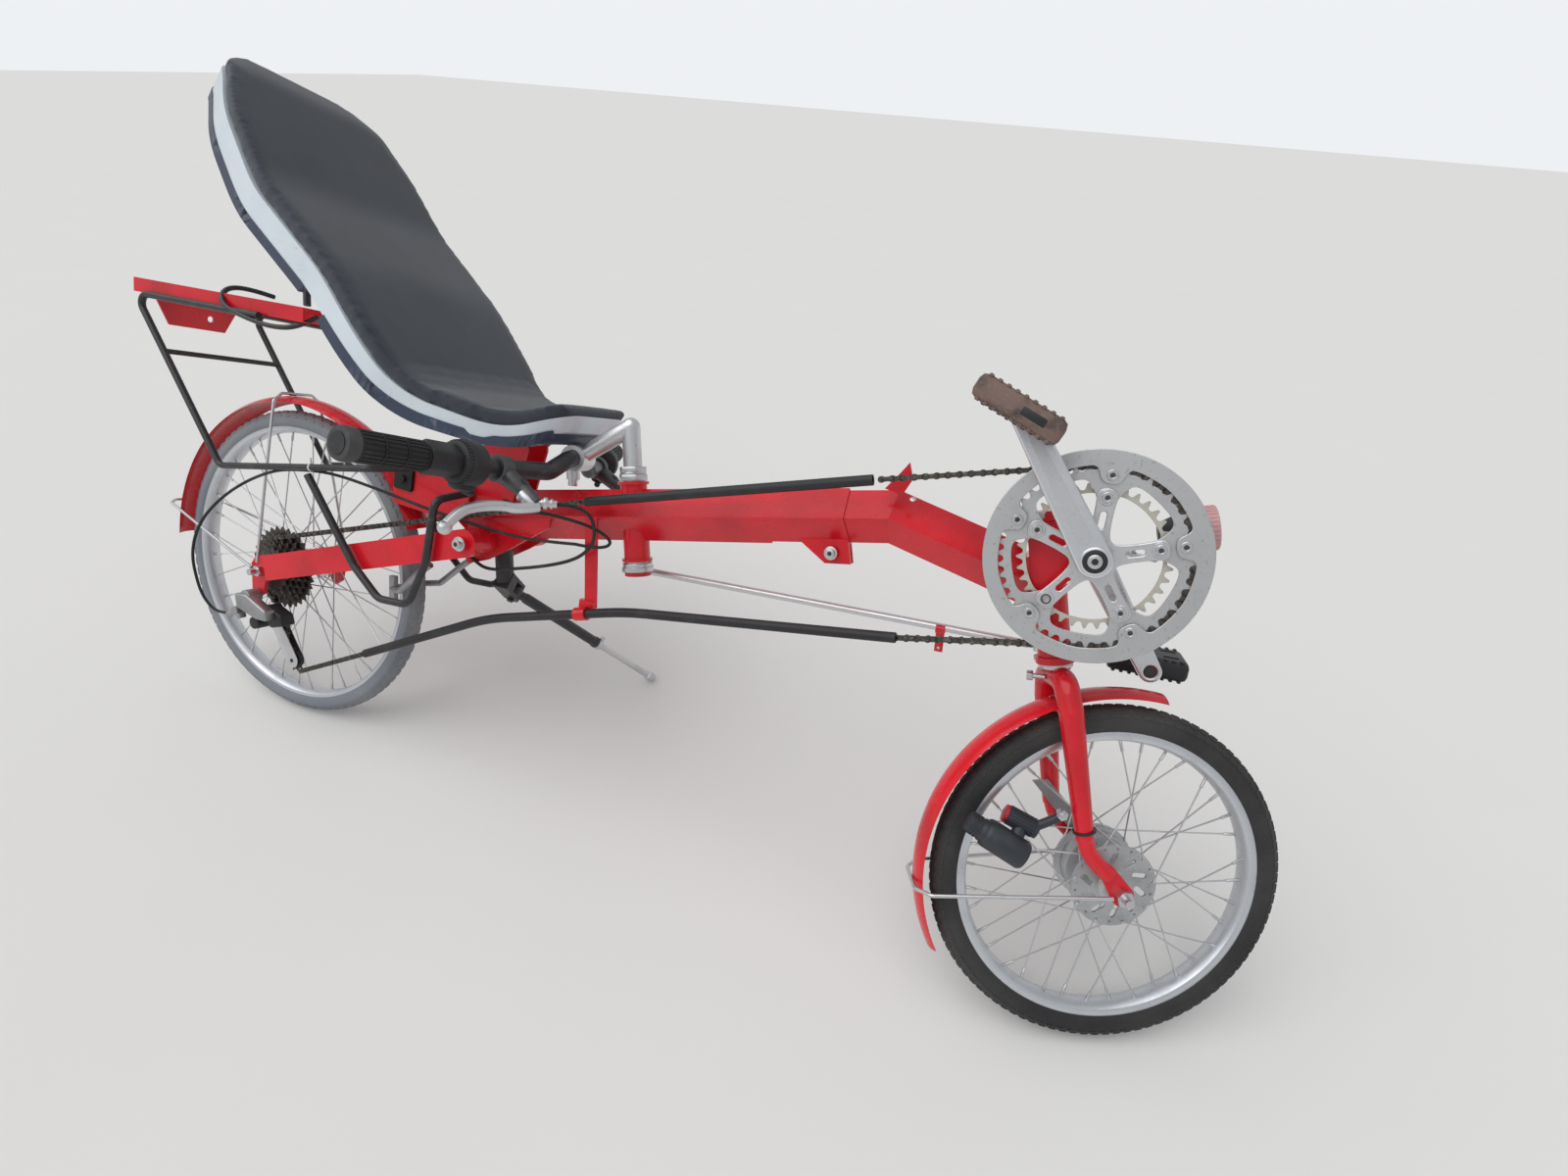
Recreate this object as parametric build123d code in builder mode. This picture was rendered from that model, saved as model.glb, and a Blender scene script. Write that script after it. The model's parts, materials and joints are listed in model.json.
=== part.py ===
from build123d import *
from collections import namedtuple
from math import asin, atan2, cos, degrees, hypot, pi, radians, sin, sqrt, tan
import os

# A two-wheeled recumbent bicycle with a bar under its seat, parked on its side stand.
# It is modelled upright with its wheels in line: x runs forward from the rear axle,
# y to the rider's left and z up from the ground. Lengths are millimetres.
# The last section turns its steering to the left stop and leans it on its stand.
os.makedirs("parts", exist_ok=True)

# How it parks
lean = 23.0
fork_turn = 20.0
bar_turn = 10.0

# Wheels and steering geometry
wheelbase = 1310.0
rear_radius = 254.0
front_radius = 211.0
head_angle = 70.5
fork_rake = 38.0
rim_width = 27.0
rear_bead = rear_radius - 28.5
front_bead = front_radius - 36.5
rim_depth = 12.5
rear_guard_gap = 23.0
front_guard_gap = 20.0
rim_lip = 2.0
bead_depth = 6.5
brake_track = 14.0
spoke_size = 2.0
tread_share = 0.5
holes_a_side = 18
axle_radius = 5.0
turning_gap = 0.5

# Frame
beam_side = 50.0
beam_wall = 2.0
beam_slope = 13.3
beam_rear_x = 330.0
seam_x = 905.0
kink_x = 958.8
boom_overlap = 115.0
boom_slope = -10.3
head_radius = 19.0
head_bottom = 277.0
head_top = 426.0
mid_head_x = 607.0
mid_head_radius = 18.0
mid_head_low = -60.0
mid_head_high = 42.0
pivot_point = (395.0, 401.0)
pivot_half = 62.0

# Rear suspension arm
arm_inner = 64.5
arm_width = 18.0
arm_height = 40.0
arm_rear_x = 16.0
arm_rise = 9.0
arm_bridge_x = 315.0
dropout_inner = 67.5
dropout_thick = 6.0

# Drive
bracket_x = wheelbase - 123.0
bracket_z = 585.0
bracket_radius = 21.0
bracket_width = 70.0
crank_length = 170.0
crank_angle = 130.0
crank_inner = 66.0
crank_thick = 14.0
chain_pitch = 12.7
chain_y = -46.0
ring_teeth = 48
small_ring_teeth = 38
drive_sprocket_teeth = 24
ring_thick = 2.0
guard_outer = 115.0
guard_inner = 104.5
guard_y = -52.5
guard_thick = 3.0
outer_bolt_circle = 88.5
inner_bolt_circle = 65.0
spider_arms = 5
spider_first = 36.0
spider_y = -52.0
spider_thick = 6.0
pedal_length = 96.0
pedal_thick = 28.0
pedal_width = 80.0
pedal_gap = 10.0
pedal_tilt = -20.0

# Seat
seat_half = 160.0
pad_thick = 18.0
shell_wall = 4.0
edging_width = 9.0

# Side stand
stand_radius = 9.0
foot_radius = 9.0

rear_axle = Vector(0, 0, rear_radius)
front_axle = Vector(wheelbase, 0, front_radius)
bracket = Vector(bracket_x, 0, bracket_z)
level = (0, 1, 0)


def beam_at(x):
    """Centreline point of the main beam above a place along the bicycle."""
    rise = (x - 700.9) * tan(radians(beam_slope))
    return Vector(x, 0, 509.9 + rise)


def toward(slope):
    """Unit vector in the bicycle's own plane, at a slope up from straight ahead."""
    return Vector(cos(radians(slope)), 0, sin(radians(slope)))


def steering_plane(foot, angle):
    """Plane whose z axis is a steering axis through foot, x ahead of it and y left."""
    up = Vector(-cos(radians(angle)), 0, sin(radians(angle)))
    ahead = Vector(sin(radians(angle)), 0, cos(radians(angle)))
    return Plane(origin=foot, x_dir=ahead, z_dir=up)


def turn_about(plane, angle):
    """Move that turns a piece about a plane's z axis."""
    there = plane.location
    return there * Location((0, 0, 0), (0, 0, angle)) * there.inverse()


def moved_point(move, point):
    """Where a move takes a point."""
    return (move * Location(point)).position


fork_foot = front_axle - toward(90 - head_angle) * fork_rake
fork_axis = steering_plane(fork_foot, head_angle)
bar_axis = steering_plane(beam_at(mid_head_x), 90 - beam_slope)
fork_rest = turn_about(fork_axis, fork_turn)
bar_rest = turn_about(bar_axis, bar_turn)
link_rest = turn_about(bar_axis, fork_turn)


def side_plane(y):
    """Plane seen from the right: x ahead, local y up, at a distance left of centre."""
    return Plane.XZ.offset(-y)


def radial_plane(centre, angle):
    """Plane through a wheel's axle whose local y points out along one spoke angle."""
    out = toward(angle)
    return Plane(origin=centre, x_dir=level, z_dir=Vector(0, 1, 0).cross(out))


def wheel_axis(centre):
    return Axis(centre, level)


def bar(points, radius, bends=20, bore=0):
    """Round bar or tube along a run of points with its corners bent."""
    with BuildLine() as run:
        if len(points) == 2:
            Line(*points)
        else:
            FilletPolyline(*points, radius=bends)
    with BuildSketch(Plane(origin=run.line @ 0, z_dir=run.line % 0)) as section:
        Circle(radius)
        if bore:
            Circle(bore, mode=Mode.SUBTRACT)
    sweep(section.sketch, path=run.line)


def plate(outline, y, thick, corner=0):
    """Flat plate in the bicycle's own plane with its middle at y."""
    with BuildSketch(side_plane(y)) as face:
        with BuildLine():
            if corner:
                FilletPolyline(*outline, radius=corner, close=True)
            else:
                Polyline(*outline, close=True)
        make_face()
    extrude(face.sketch, amount=thick / 2, both=True)


def pin(x, z, radius, y_from, y_to, mode=Mode.ADD):
    """Round pin or hole straight across the bicycle."""
    with Locations(Plane(origin=(x, y_from, z), z_dir=(0, y_to - y_from, 0))):
        Cylinder(radius, abs(y_to - y_from), align=(Align.CENTER, Align.CENTER, Align.MIN), mode=mode)


def stub(start, end, radius, end_radius=None, mode=Mode.ADD):
    """Straight round stub between two points, tapered where its end radius differs."""
    start, end = Vector(*start), Vector(*end)
    run = end - start
    with Locations(Plane(origin=start, z_dir=run)):
        base = (Align.CENTER, Align.CENTER, Align.MIN)
        if end_radius is None or end_radius == radius:
            Cylinder(radius, run.length, align=base, mode=mode)
        else:
            Cone(radius, end_radius, run.length, align=base, mode=mode)


def diamond(side, x_from, length, mode=Mode.ADD):
    """Square bar along the beam's centreline, standing on its edge."""
    with BuildSketch(Plane(origin=beam_at(x_from), x_dir=level, z_dir=toward(beam_slope))) as section:
        Rectangle(side, side, rotation=45)
    extrude(section.sketch, amount=length, mode=mode)


beam_length = (seam_x - beam_rear_x) / cos(radians(beam_slope))
boom_side = beam_side - 2 * beam_wall

# Main beam: a square tube on its edge, slit and pinched round the sliding boom
seam = beam_at(seam_x)
pinch_offsets = [(-59, -42.2), (6, -27.2), (16, -57.2), (-17, -64.2)]
pinch_tab = [(seam.X + x, seam.Z + z) for x, z in pinch_offsets]
pinch_bolt = (seam.X - 10.5, seam.Z - 48.7)
with BuildPart() as main_beam:
    diamond(beam_side, beam_rear_x, beam_length)
    with Locations(bar_axis):
        Cylinder(mid_head_radius, 120, mode=Mode.SUBTRACT)
    for y in (-6, 6):
        plate(pinch_tab, y, 4)
    slit_end = beam_at(seam_x - 45) - Vector(0, 0, beam_side / 2 * sqrt(2))
    with Locations(Location(slit_end, (0, -beam_slope, 0))):
        Box(100, 5, 18, mode=Mode.SUBTRACT)
    pin(*pinch_bolt, 4, -14, 14)
    for y in (-1, 1):
        pin(*pinch_bolt, 7, y * 8, y * 14)
    diamond(boom_side, beam_rear_x + 4, beam_length, mode=Mode.SUBTRACT)
main_beam.part.label = "main_beam"

# Boom: slides in the beam, kinks down and ends on a plate behind the front head tube
boom_end_x = wheelbase - 160.0
kink = beam_at(kink_x)
boom_start = kink - toward(beam_slope) * ((kink_x - seam_x) / cos(radians(beam_slope)) + boom_overlap)
boom_end = kink + toward(boom_slope) * (boom_end_x - kink_x) * (1 / cos(radians(boom_slope)))
end_plate_thick = 4.0
end_plate_x = -head_radius - end_plate_thick
with BuildPart() as boom:
    with BuildLine() as boom_run:
        Polyline(boom_start, kink, boom_end)
    with BuildSketch(Plane(origin=boom_start, x_dir=level, z_dir=toward(beam_slope))):
        Rectangle(boom_side, boom_side, rotation=45)
    sweep(path=boom_run.line, transition=Transition.RIGHT)
    with BuildSketch(fork_axis):
        with Locations((end_plate_x, 0)):
            Rectangle(100, 120, align=(Align.MIN, Align.CENTER))
    extrude(amount=600, mode=Mode.SUBTRACT)
    with BuildSketch(fork_axis.offset(324)):
        with Locations((end_plate_x, 0)):
            Rectangle(end_plate_thick, 64, align=(Align.MIN, Align.CENTER))
    extrude(amount=74)
boom.part.label = "boom"

# Chain keeper: a small tilted plate that holds the upper chain tube off the boom
with BuildPart() as chain_keeper:
    keeper = [(-14.8, 32.7), (7.2, 29.7), (15.2, 50.7), (7.2, 68.7), (-0.8, 54.7)]
    plate([(kink.X + x, kink.Z + z) for x, z in keeper], -20, 4)
    diamond(boom_side, kink_x - 40, 120, mode=Mode.SUBTRACT)
chain_keeper.part.label = "chain_keeper"

# Front head tube with its bearing cups
cup_radius = 22.0
cup_height = 8.0
steerer_radius = 12.7
with BuildPart() as front_head_tube:
    with BuildSketch(fork_axis.offset(head_bottom)):
        Circle(head_radius)
        Circle(steerer_radius + turning_gap, mode=Mode.SUBTRACT)
    extrude(amount=head_top - head_bottom)
    for height in (head_bottom - cup_height, head_top):
        with BuildSketch(fork_axis.offset(height)):
            Circle(cup_radius)
            Circle(steerer_radius + turning_gap, mode=Mode.SUBTRACT)
        extrude(amount=cup_height)
front_head_tube.part.label = "front_head_tube"

# Crank bracket: a shell across the nose, held by two cheeks that grip the head tube
cheek_offsets = [(-81, 11), (-37, 27), (3, 25), (17, -5), (-7, -25), (-41, -65), (-59, -61)]
cheek = [(bracket_x + x, bracket_z + z) for x, z in cheek_offsets]
with BuildPart() as bottom_bracket:
    for y in (-1, 1):
        plate(cheek, y * (head_radius + 2), 4, corner=5)
    pin(bracket_x, bracket_z, bracket_radius, -bracket_width / 2, bracket_width / 2)
    pin(bracket_x, bracket_z, 9, -bracket_width / 2, bracket_width / 2, mode=Mode.SUBTRACT)
    with Locations(fork_axis.offset(head_top)):
        Cylinder(cup_radius + 1, 40, mode=Mode.SUBTRACT)
    with Locations(fork_axis.offset(330)):
        Cylinder(head_radius, 160, mode=Mode.SUBTRACT)
    with BuildSketch(fork_axis):
        with Locations((end_plate_x + end_plate_thick, 0)):
            Rectangle(100, 120, align=(Align.MAX, Align.CENTER))
    extrude(amount=600, mode=Mode.SUBTRACT)
bottom_bracket.part.label = "bottom_bracket"

# Middle head tube: it passes down through the beam and carries the bar's stem
with BuildPart() as mid_head_tube:
    with BuildSketch(bar_axis.offset(mid_head_low)):
        Circle(mid_head_radius)
        Circle(steerer_radius + turning_gap, mode=Mode.SUBTRACT)
    extrude(amount=mid_head_high - mid_head_low)
    for height in (mid_head_low - 4, mid_head_high):
        with BuildSketch(bar_axis.offset(height)):
            Circle(mid_head_radius + 3)
            Circle(steerer_radius + turning_gap, mode=Mode.SUBTRACT)
        extrude(amount=4)
mid_head_tube.part.label = "mid_head_tube"

# Pivot bracket: two cheeks under the beam with the boss that the rear arm swings on
pivot_cheek = [(363, 357), (396, 371), (420, 387), (494, 444), (494, 459), (356, 427), (356, 366)]
with BuildPart() as pivot_bracket:
    for y in (-30, 30):
        plate(pivot_cheek, y, 4)
    pin(*pivot_point, 17, -pivot_half, pivot_half)
    pin(*pivot_point, 6, -arm_inner - arm_width - 8, arm_inner + arm_width + 8)
    for y in (-1, 1):
        pin(*pivot_point, 10, y * (arm_inner + arm_width), y * (arm_inner + arm_width + 8))
    diamond(beam_side, beam_rear_x, beam_length, mode=Mode.SUBTRACT)
pivot_bracket.part.label = "pivot_bracket"

# Rear plates: they stand behind the beam and hold the rubber spring
spring_angle = 40.9
spring_reach = rear_radius + 53.0
spring_place = rear_axle + toward(spring_angle) * spring_reach
spring_point = (spring_place.X, spring_place.Z)
spring_size = 34.0
rear_plate = [(207, 508), (296, 500), (352, 478), (352, 430), (322, 412), (212, 414)]
with BuildPart() as rear_plates:
    for y in (-30, 30):
        plate(rear_plate, y, 4, corner=8)
    with BuildSketch(side_plane(0)):
        with Locations(spring_point):
            RectangleRounded(spring_size + 2, spring_size + 2, 6)
    extrude(amount=60, both=True, mode=Mode.SUBTRACT)
    diamond(beam_side, beam_rear_x, beam_length, mode=Mode.SUBTRACT)
rear_plates.part.label = "rear_plates"

with BuildPart() as suspension_block:
    with BuildSketch(side_plane(0)):
        with Locations(spring_point):
            RectangleRounded(spring_size, spring_size, 5)
    extrude(amount=36, both=True)
    pin(*spring_point, 6, -40, 40)
suspension_block.part.label = "suspension_block"

# Rear arm: two box bars, a bridge in front of the tyre and the rear dropouts
arm_slope = degrees(atan2(pivot_point[1] - rear_radius - arm_rise, pivot_point[0] - arm_rear_x))
arm_dir = toward(arm_slope)
arm_end = Vector(pivot_point[0], 0, pivot_point[1])
arm_start = arm_end - arm_dir * ((pivot_point[0] - arm_rear_x) / cos(radians(arm_slope)))
arm_centre_y = arm_inner + arm_width / 2
dropout_y = dropout_inner + dropout_thick / 2
bridge = arm_end - arm_dir * ((pivot_point[0] - arm_bridge_x) / cos(radians(arm_slope)))
dropout_offsets = [(30, -8), (26, 26), (-12, 22), (-22, 8), (-18, -40), (-6, -48), (6, -38), (10, -14)]
dropout = [(x, rear_radius + z) for x, z in dropout_offsets]
with BuildPart() as swingarm:
    for y in (-arm_centre_y, arm_centre_y):
        with BuildSketch(Plane(origin=arm_start + Vector(0, y, 0), x_dir=level, z_dir=arm_dir)):
            Rectangle(arm_width, arm_height)
        extrude(amount=(arm_end - arm_start).length)
        pin(*pivot_point, arm_height / 2, y - arm_width / 2, y + arm_width / 2)
        side = 1 if y > 0 else -1
        plate(dropout, side * dropout_y, dropout_thick)
    pin(bridge.X, bridge.Z, 14, -arm_inner - 2, arm_inner + 2)
    pin(*pivot_point, 6, -100, 100, mode=Mode.SUBTRACT)
    pin(0, rear_radius, axle_radius, -100, 100, mode=Mode.SUBTRACT)
swingarm.part.label = "swingarm"

with BuildPart() as rear_axle_bolt:
    pin(0, rear_radius, axle_radius, -94, 94)
    for side in (-1, 1):
        pin(0, rear_radius, 8, side * (dropout_inner - 4), side * dropout_inner)
        with BuildSketch(side_plane(side * (dropout_inner + dropout_thick))):
            with Locations((0, rear_radius)):
                RegularPolygon(9, 6)
        extrude(amount=-side * 9)
rear_axle_bolt.part.label = "rear_axle"

# Wheels
Wheel = namedtuple("Wheel", "name axle radius section bead rim_inner flange right left lacing")
wheels = [
    Wheel("rear", rear_axle, rear_radius, 17.0, rear_bead, rear_bead - rim_depth, 25.0, -25.0, 34.0, 60),
    Wheel("front", front_axle, front_radius, 18.5, front_bead, front_bead - rim_depth, 46.0, -30.0, 30.0, 40),
]
flange_thick = 3.0


def tyre_section(wheel):
    """Tyre in its half-worn form: flat tread, two shoulders and sidewalls down to the rim's lips."""
    lip, widest, crown = wheel.bead + bead_depth, wheel.radius - wheel.section, wheel.radius
    half = [
        (rim_width / 2 - rim_lip, lip),
        (wheel.section, widest),
        (wheel.section * tread_share, crown),
    ]
    with BuildSketch(radial_plane(wheel.axle, 90)) as section:
        with BuildLine():
            Polyline(*half, *[(-y, r) for y, r in reversed(half)], close=True)
        make_face()
    return section.sketch


def rim_section(wheel):
    """Double-walled rim with a well between its bead seats."""
    half, lip, well = rim_width / 2, wheel.bead + bead_depth, wheel.bead - 5
    right_half = [(half, lip), (half, lip - brake_track), (5, wheel.rim_inner)]
    seat = [(half - rim_lip, lip), (half - rim_lip, wheel.bead), (6, wheel.bead), (5, well)]
    outside = right_half + [(-y, r) for y, r in reversed(right_half)]
    inside = [(-y, r) for y, r in seat] + list(reversed(seat))
    with BuildSketch(radial_plane(wheel.axle, 90)) as section:
        with BuildLine():
            Polyline(*outside, *inside, close=True)
        make_face()
    return section.sketch


def spoke_planes(wheel, flange_y, side, outward, first):
    """Where the spokes of one lacing family start on their flange and how they point."""
    aside = outward * (spoke_size / 2 + 0.15)
    sweep_angle = wheel.lacing * outward
    planes = []
    for hole in range(0, holes_a_side, 2):
        angle = first + hole * 360 / holes_a_side
        start = wheel.axle + toward(angle) * (wheel.flange + spoke_size) + Vector(0, flange_y + aside, 0)
        rim_end = wheel.rim_inner - spoke_size * 0.6
        end = wheel.axle + toward(angle + sweep_angle) * rim_end + Vector(0, side * 2.5 + aside, 0)
        planes.append(Plane(origin=start, x_dir=level, z_dir=end - start))
    return planes, (end - start).length


wheel_pieces = {}
for wheel in wheels:
    with BuildPart() as tyre:
        revolve(tyre_section(wheel), wheel_axis(wheel.axle))
    tyre.part.label = wheel.name + "_tyre"

    with BuildPart() as rim:
        revolve(rim_section(wheel), wheel_axis(wheel.axle))
    rim.part.label = wheel.name + "_rim"

    with BuildPart() as spokes:
        spacing = 360 / holes_a_side
        families = [
            (wheel.right, -1, 1, 0),
            (wheel.right, -1, -1, spacing),
            (wheel.left, 1, 1, spacing / 2),
            (wheel.left, 1, -1, spacing * 1.5),
        ]
        for flange_y, side, outward, first in families:
            planes, length = spoke_planes(wheel, flange_y, side, outward, first)
            with Locations(*planes):
                Box(spoke_size, spoke_size, length, align=(Align.CENTER, Align.CENTER, Align.MIN))
    spokes.part.label = wheel.name + "_spokes"
    wheel_pieces[wheel.name] = [tyre, rim, spokes]

rear_wheel, front_wheel = wheels
half_flange = flange_thick / 2


def turned(centre, profile):
    """Body of revolution about a wheel's axle from (y, radius) corners."""
    with BuildSketch(radial_plane(centre, 90)) as section:
        with BuildLine():
            Polyline(*profile, close=True)
        make_face()
    revolve(section.sketch, wheel_axis(centre))


hub_bore = axle_radius + turning_gap
with BuildPart() as rear_hub:
    turned(rear_axle, [
        (-60, hub_bore), (-60, 15), (-32, 15), (-32, 17),
        (rear_wheel.right - half_flange, 17), (rear_wheel.right - half_flange, rear_wheel.flange),
        (rear_wheel.right + half_flange, rear_wheel.flange), (rear_wheel.right + 6, 15),
        (rear_wheel.left - 6, 15), (rear_wheel.left - half_flange, rear_wheel.flange),
        (rear_wheel.left + half_flange, rear_wheel.flange), (rear_wheel.left + half_flange, 16),
        (58, 13), (58, hub_bore),
    ])
rear_hub.part.label = "rear_hub"

drum_radius = front_wheel.flange
with BuildPart() as front_hub:
    turned(front_axle, [
        (-38, hub_bore), (-38, 12), (front_wheel.right - half_flange, 16),
        (front_wheel.right - half_flange, drum_radius), (front_wheel.right + half_flange, drum_radius),
        (front_wheel.right + half_flange, 20), (4, 20), (8, drum_radius - 7),
        (front_wheel.left - half_flange, drum_radius - 7),
        (front_wheel.left - half_flange, drum_radius), (front_wheel.left + half_flange, drum_radius),
        (front_wheel.left + half_flange, hub_bore),
    ])
    # Triangular windows round the near flange
    with BuildSketch(side_plane(front_wheel.right)):
        with Locations((front_axle.X, front_axle.Z)):
            with PolarLocations(0, 10):
                Polygon((24, 2), (37, -5), (37, 6), align=None)
    extrude(amount=flange_thick, both=True, mode=Mode.SUBTRACT)
front_hub.part.label = "front_hub"


def pitch_radius(teeth):
    return chain_pitch / (2 * sin(pi / teeth))


def toothed_disc(centre, y, teeth, bore, thick=ring_thick, tip=2.0):
    """Toothed ring whose valleys lie at whole tooth angles from straight ahead."""
    step = 360 / teeth
    root, crown = pitch_radius(teeth) - 4.5, pitch_radius(teeth) + 3
    tip_angle = degrees(tip / 2 / crown)
    corners = []
    for tooth in range(teeth):
        valley = tooth * step
        places = [(valley, root), (valley + step / 2 - tip_angle, crown)]
        if tip:
            places.append((valley + step / 2 + tip_angle, crown))
        corners += [(r * cos(radians(a)), r * sin(radians(a))) for a, r in places]
    with BuildSketch(side_plane(y)) as disc:
        with Locations((centre.X, centre.Z)):
            Polygon(*corners, align=None)
            Circle(bore, mode=Mode.SUBTRACT)
    extrude(disc.sketch, amount=thick / 2, both=True)


# Rear sprockets on the right of the hub; the chain runs on the middle one
sprocket_spacing = 5.0
sprocket_teeth = (32, 28, drive_sprocket_teeth, 21, 18)
with BuildPart() as sprockets:
    for row, teeth in enumerate(sprocket_teeth):
        tip = 2.0 if teeth == drive_sprocket_teeth else 0
        toothed_disc(rear_axle, chain_y + (2 - row) * sprocket_spacing, teeth, 15.0, tip=tip)
    first_y = chain_y + 2 * sprocket_spacing
    last_y = chain_y - 2 * sprocket_spacing
    with BuildSketch(side_plane(first_y)):
        with Locations((0, rear_radius)):
            Circle(22)
            Circle(15, mode=Mode.SUBTRACT)
    extrude(amount=first_y - last_y)
sprockets.part.label = "sprockets"

# Front chain rings with five inward lugs each
lug_angles = [crank_angle + spider_first + k * 360 / spider_arms for k in range(spider_arms)]


def ring_lugs(y, thick, rim_radius, bolt_circle, lug_radius, mode=Mode.ADD):
    """Round lugs that join a ring to its bolts at the spider's angles."""
    with BuildSketch(side_plane(y)) as lugs:
        for angle in lug_angles:
            foot = toward(angle)
            with Locations((bracket.X + foot.X * bolt_circle, bracket.Z + foot.Z * bolt_circle)):
                Circle(lug_radius)
            middle = (rim_radius + bolt_circle) / 2
            with Locations(Location((bracket.X + foot.X * middle, bracket.Z + foot.Z * middle), angle)):
                Rectangle(abs(rim_radius - bolt_circle) + 2, lug_radius * 2)
    extrude(lugs.sketch, amount=thick / 2, both=True, mode=mode)


def polar(centre, radius, angle):
    """Side view place at a radius and angle from a centre."""
    out = toward(angle)
    return (centre.X + out.X * radius, centre.Z + out.Z * radius)


small_ring_y = chain_y + 7.5
bolt_radius = 4.0
with BuildPart() as chainrings:
    toothed_disc(bracket, chain_y, ring_teeth, 79.0)
    ring_lugs(chain_y, ring_thick, 80, inner_bolt_circle, 9)
    toothed_disc(bracket, small_ring_y, small_ring_teeth, 69.0, tip=0)
    ring_lugs(small_ring_y, ring_thick, 70, inner_bolt_circle, 7)
    for angle in lug_angles:
        pin(*polar(bracket, inner_bolt_circle, angle), 6, small_ring_y, chain_y)
        pin(*polar(bracket, outer_bolt_circle, angle), 5, chain_y, guard_y + guard_thick / 2)
        pin(*polar(bracket, inner_bolt_circle, angle), bolt_radius, -60, -30, mode=Mode.SUBTRACT)
chainrings.part.label = "chainrings"

with BuildPart() as chain_guard:
    with BuildSketch(side_plane(guard_y)):
        with Locations((bracket_x, bracket_z)):
            Circle(guard_outer)
            Circle(guard_inner, mode=Mode.SUBTRACT)
    extrude(amount=guard_thick / 2, both=True)
    ring_lugs(guard_y, guard_thick, guard_inner, outer_bolt_circle, 8)
chain_guard.part.label = "chain_guard"

# Bolts of the rings; the inner one of the fourth arm is missing, its hole stays open
missing_bolt = 3
with BuildPart() as ring_bolts:
    for count, angle in enumerate(lug_angles):
        spot = polar(bracket, outer_bolt_circle, angle)
        pin(*spot, 6, guard_y - guard_thick / 2, guard_y - guard_thick / 2 - 3)
        if count != missing_bolt:
            spot = polar(bracket, inner_bolt_circle, angle)
            pin(*spot, 6.5, spider_y - spider_thick / 2, spider_y - spider_thick / 2 - 2)
            pin(*spot, bolt_radius, spider_y - spider_thick / 2, small_ring_y)
ring_bolts.part.label = "ring_bolts"


def crank_arm(side, angle, inner):
    """Tapered crank arm with rounded ends and a pedal hole."""
    far = polar(bracket, crank_length, angle)
    with BuildSketch(side_plane(side * (inner + crank_thick / 2))) as arm:
        with Locations((bracket_x, bracket_z)):
            Circle(19)
        with Locations(far):
            Circle(14)
        make_hull()
        with Locations(far):
            Circle(7, mode=Mode.SUBTRACT)
    extrude(arm.sketch, amount=crank_thick / 2, both=True)


with BuildPart() as cranks:
    crank_arm(-1, crank_angle, crank_inner)
    crank_arm(1, crank_angle + 180, crank_inner)
    pin(bracket_x, bracket_z, 8.5, -crank_inner - 2, crank_inner + 2)
    pin(bracket_x, bracket_z, 17.5, -crank_inner - 1, spider_y + spider_thick / 2)
    with BuildSketch(side_plane(spider_y)):
        for angle in lug_angles:
            with Locations(Location(polar(bracket, inner_bolt_circle / 2, angle), angle)):
                Rectangle(inner_bolt_circle - 2, 17)
            with Locations(polar(bracket, inner_bolt_circle, angle)):
                Circle(9.5)
        for angle in lug_angles:
            with Locations(Location(polar(bracket, 42, angle), angle)):
                SlotOverall(18, 6, mode=Mode.SUBTRACT)
            with Locations(polar(bracket, inner_bolt_circle, angle)):
                Circle(bolt_radius, mode=Mode.SUBTRACT)
    extrude(amount=spider_thick / 2, both=True)
    for side in (-1, 1):
        face = side * (crank_inner + crank_thick)
        pin(bracket_x, bracket_z, 12, face, face + side * 2)
cranks.part.label = "cranks"


def pedal(side, angle):
    """Resin pedal with toothed edges round a spindle that screws into its crank."""
    x, z = polar(bracket, crank_length, angle)
    inner = crank_inner + crank_thick + pedal_gap
    middle = side * (inner + pedal_width / 2)
    with BuildSketch(side_plane(middle)) as block:
        with Locations(Location((x, z), pedal_tilt if side < 0 else -pedal_tilt / 4)):
            RectangleRounded(pedal_length, pedal_thick, 9)
            with GridLocations(12, pedal_thick, 6, 2):
                Rectangle(5, 4, mode=Mode.SUBTRACT)
    extrude(block.sketch, amount=pedal_width / 2, both=True)
    tilt = pedal_tilt if side < 0 else -pedal_tilt / 4
    with Locations(Location((x, middle, z), (0, -tilt, 0))):
        with GridLocations(54, 0, 2, 1):
            Box(22, pedal_width - 20, 2 * pedal_thick, mode=Mode.SUBTRACT)
    pin(x, z, 6.8, side * (crank_inner + 1), side * (inner + 4))


with BuildPart() as pedal_right:
    pedal(-1, crank_angle)
pedal_right.part.label = "pedal_right"

with BuildPart() as pedal_left:
    pedal(1, crank_angle + 180)
pedal_left.part.label = "pedal_left"

# Chain route in the plane of the big ring, as circles passed one way round or the other
Pass = namedtuple("Pass", "x z radius sense")
guide_wheel = (5.0, rear_radius - 88.0)
tension_wheel = (48.0, rear_radius - 146.0)
jockey_radius = 18.0
upper_tube = [(557.0, 497.0), (933.0, 612.0)]
lower_tube = [(196.0, 165.0), (420.0, 290.0), (640.0, 364.0), (1003.0, 437.0)]
front_route = [
    Pass(*lower_tube[-1], 0, 1),
    Pass(bracket_x, bracket_z, pitch_radius(ring_teeth), 1),
    Pass(*upper_tube[-1], 0, 1),
]
rear_route = [
    Pass(*upper_tube[0], 0, 1),
    Pass(0, rear_radius, pitch_radius(drive_sprocket_teeth), 1),
    Pass(*guide_wheel, jockey_radius + 3, -1),
    Pass(*tension_wheel, jockey_radius + 3, 1),
    Pass(*lower_tube[0], 0, 1),
]
tube_entry = 5.0
tube_radius = 6.5
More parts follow.
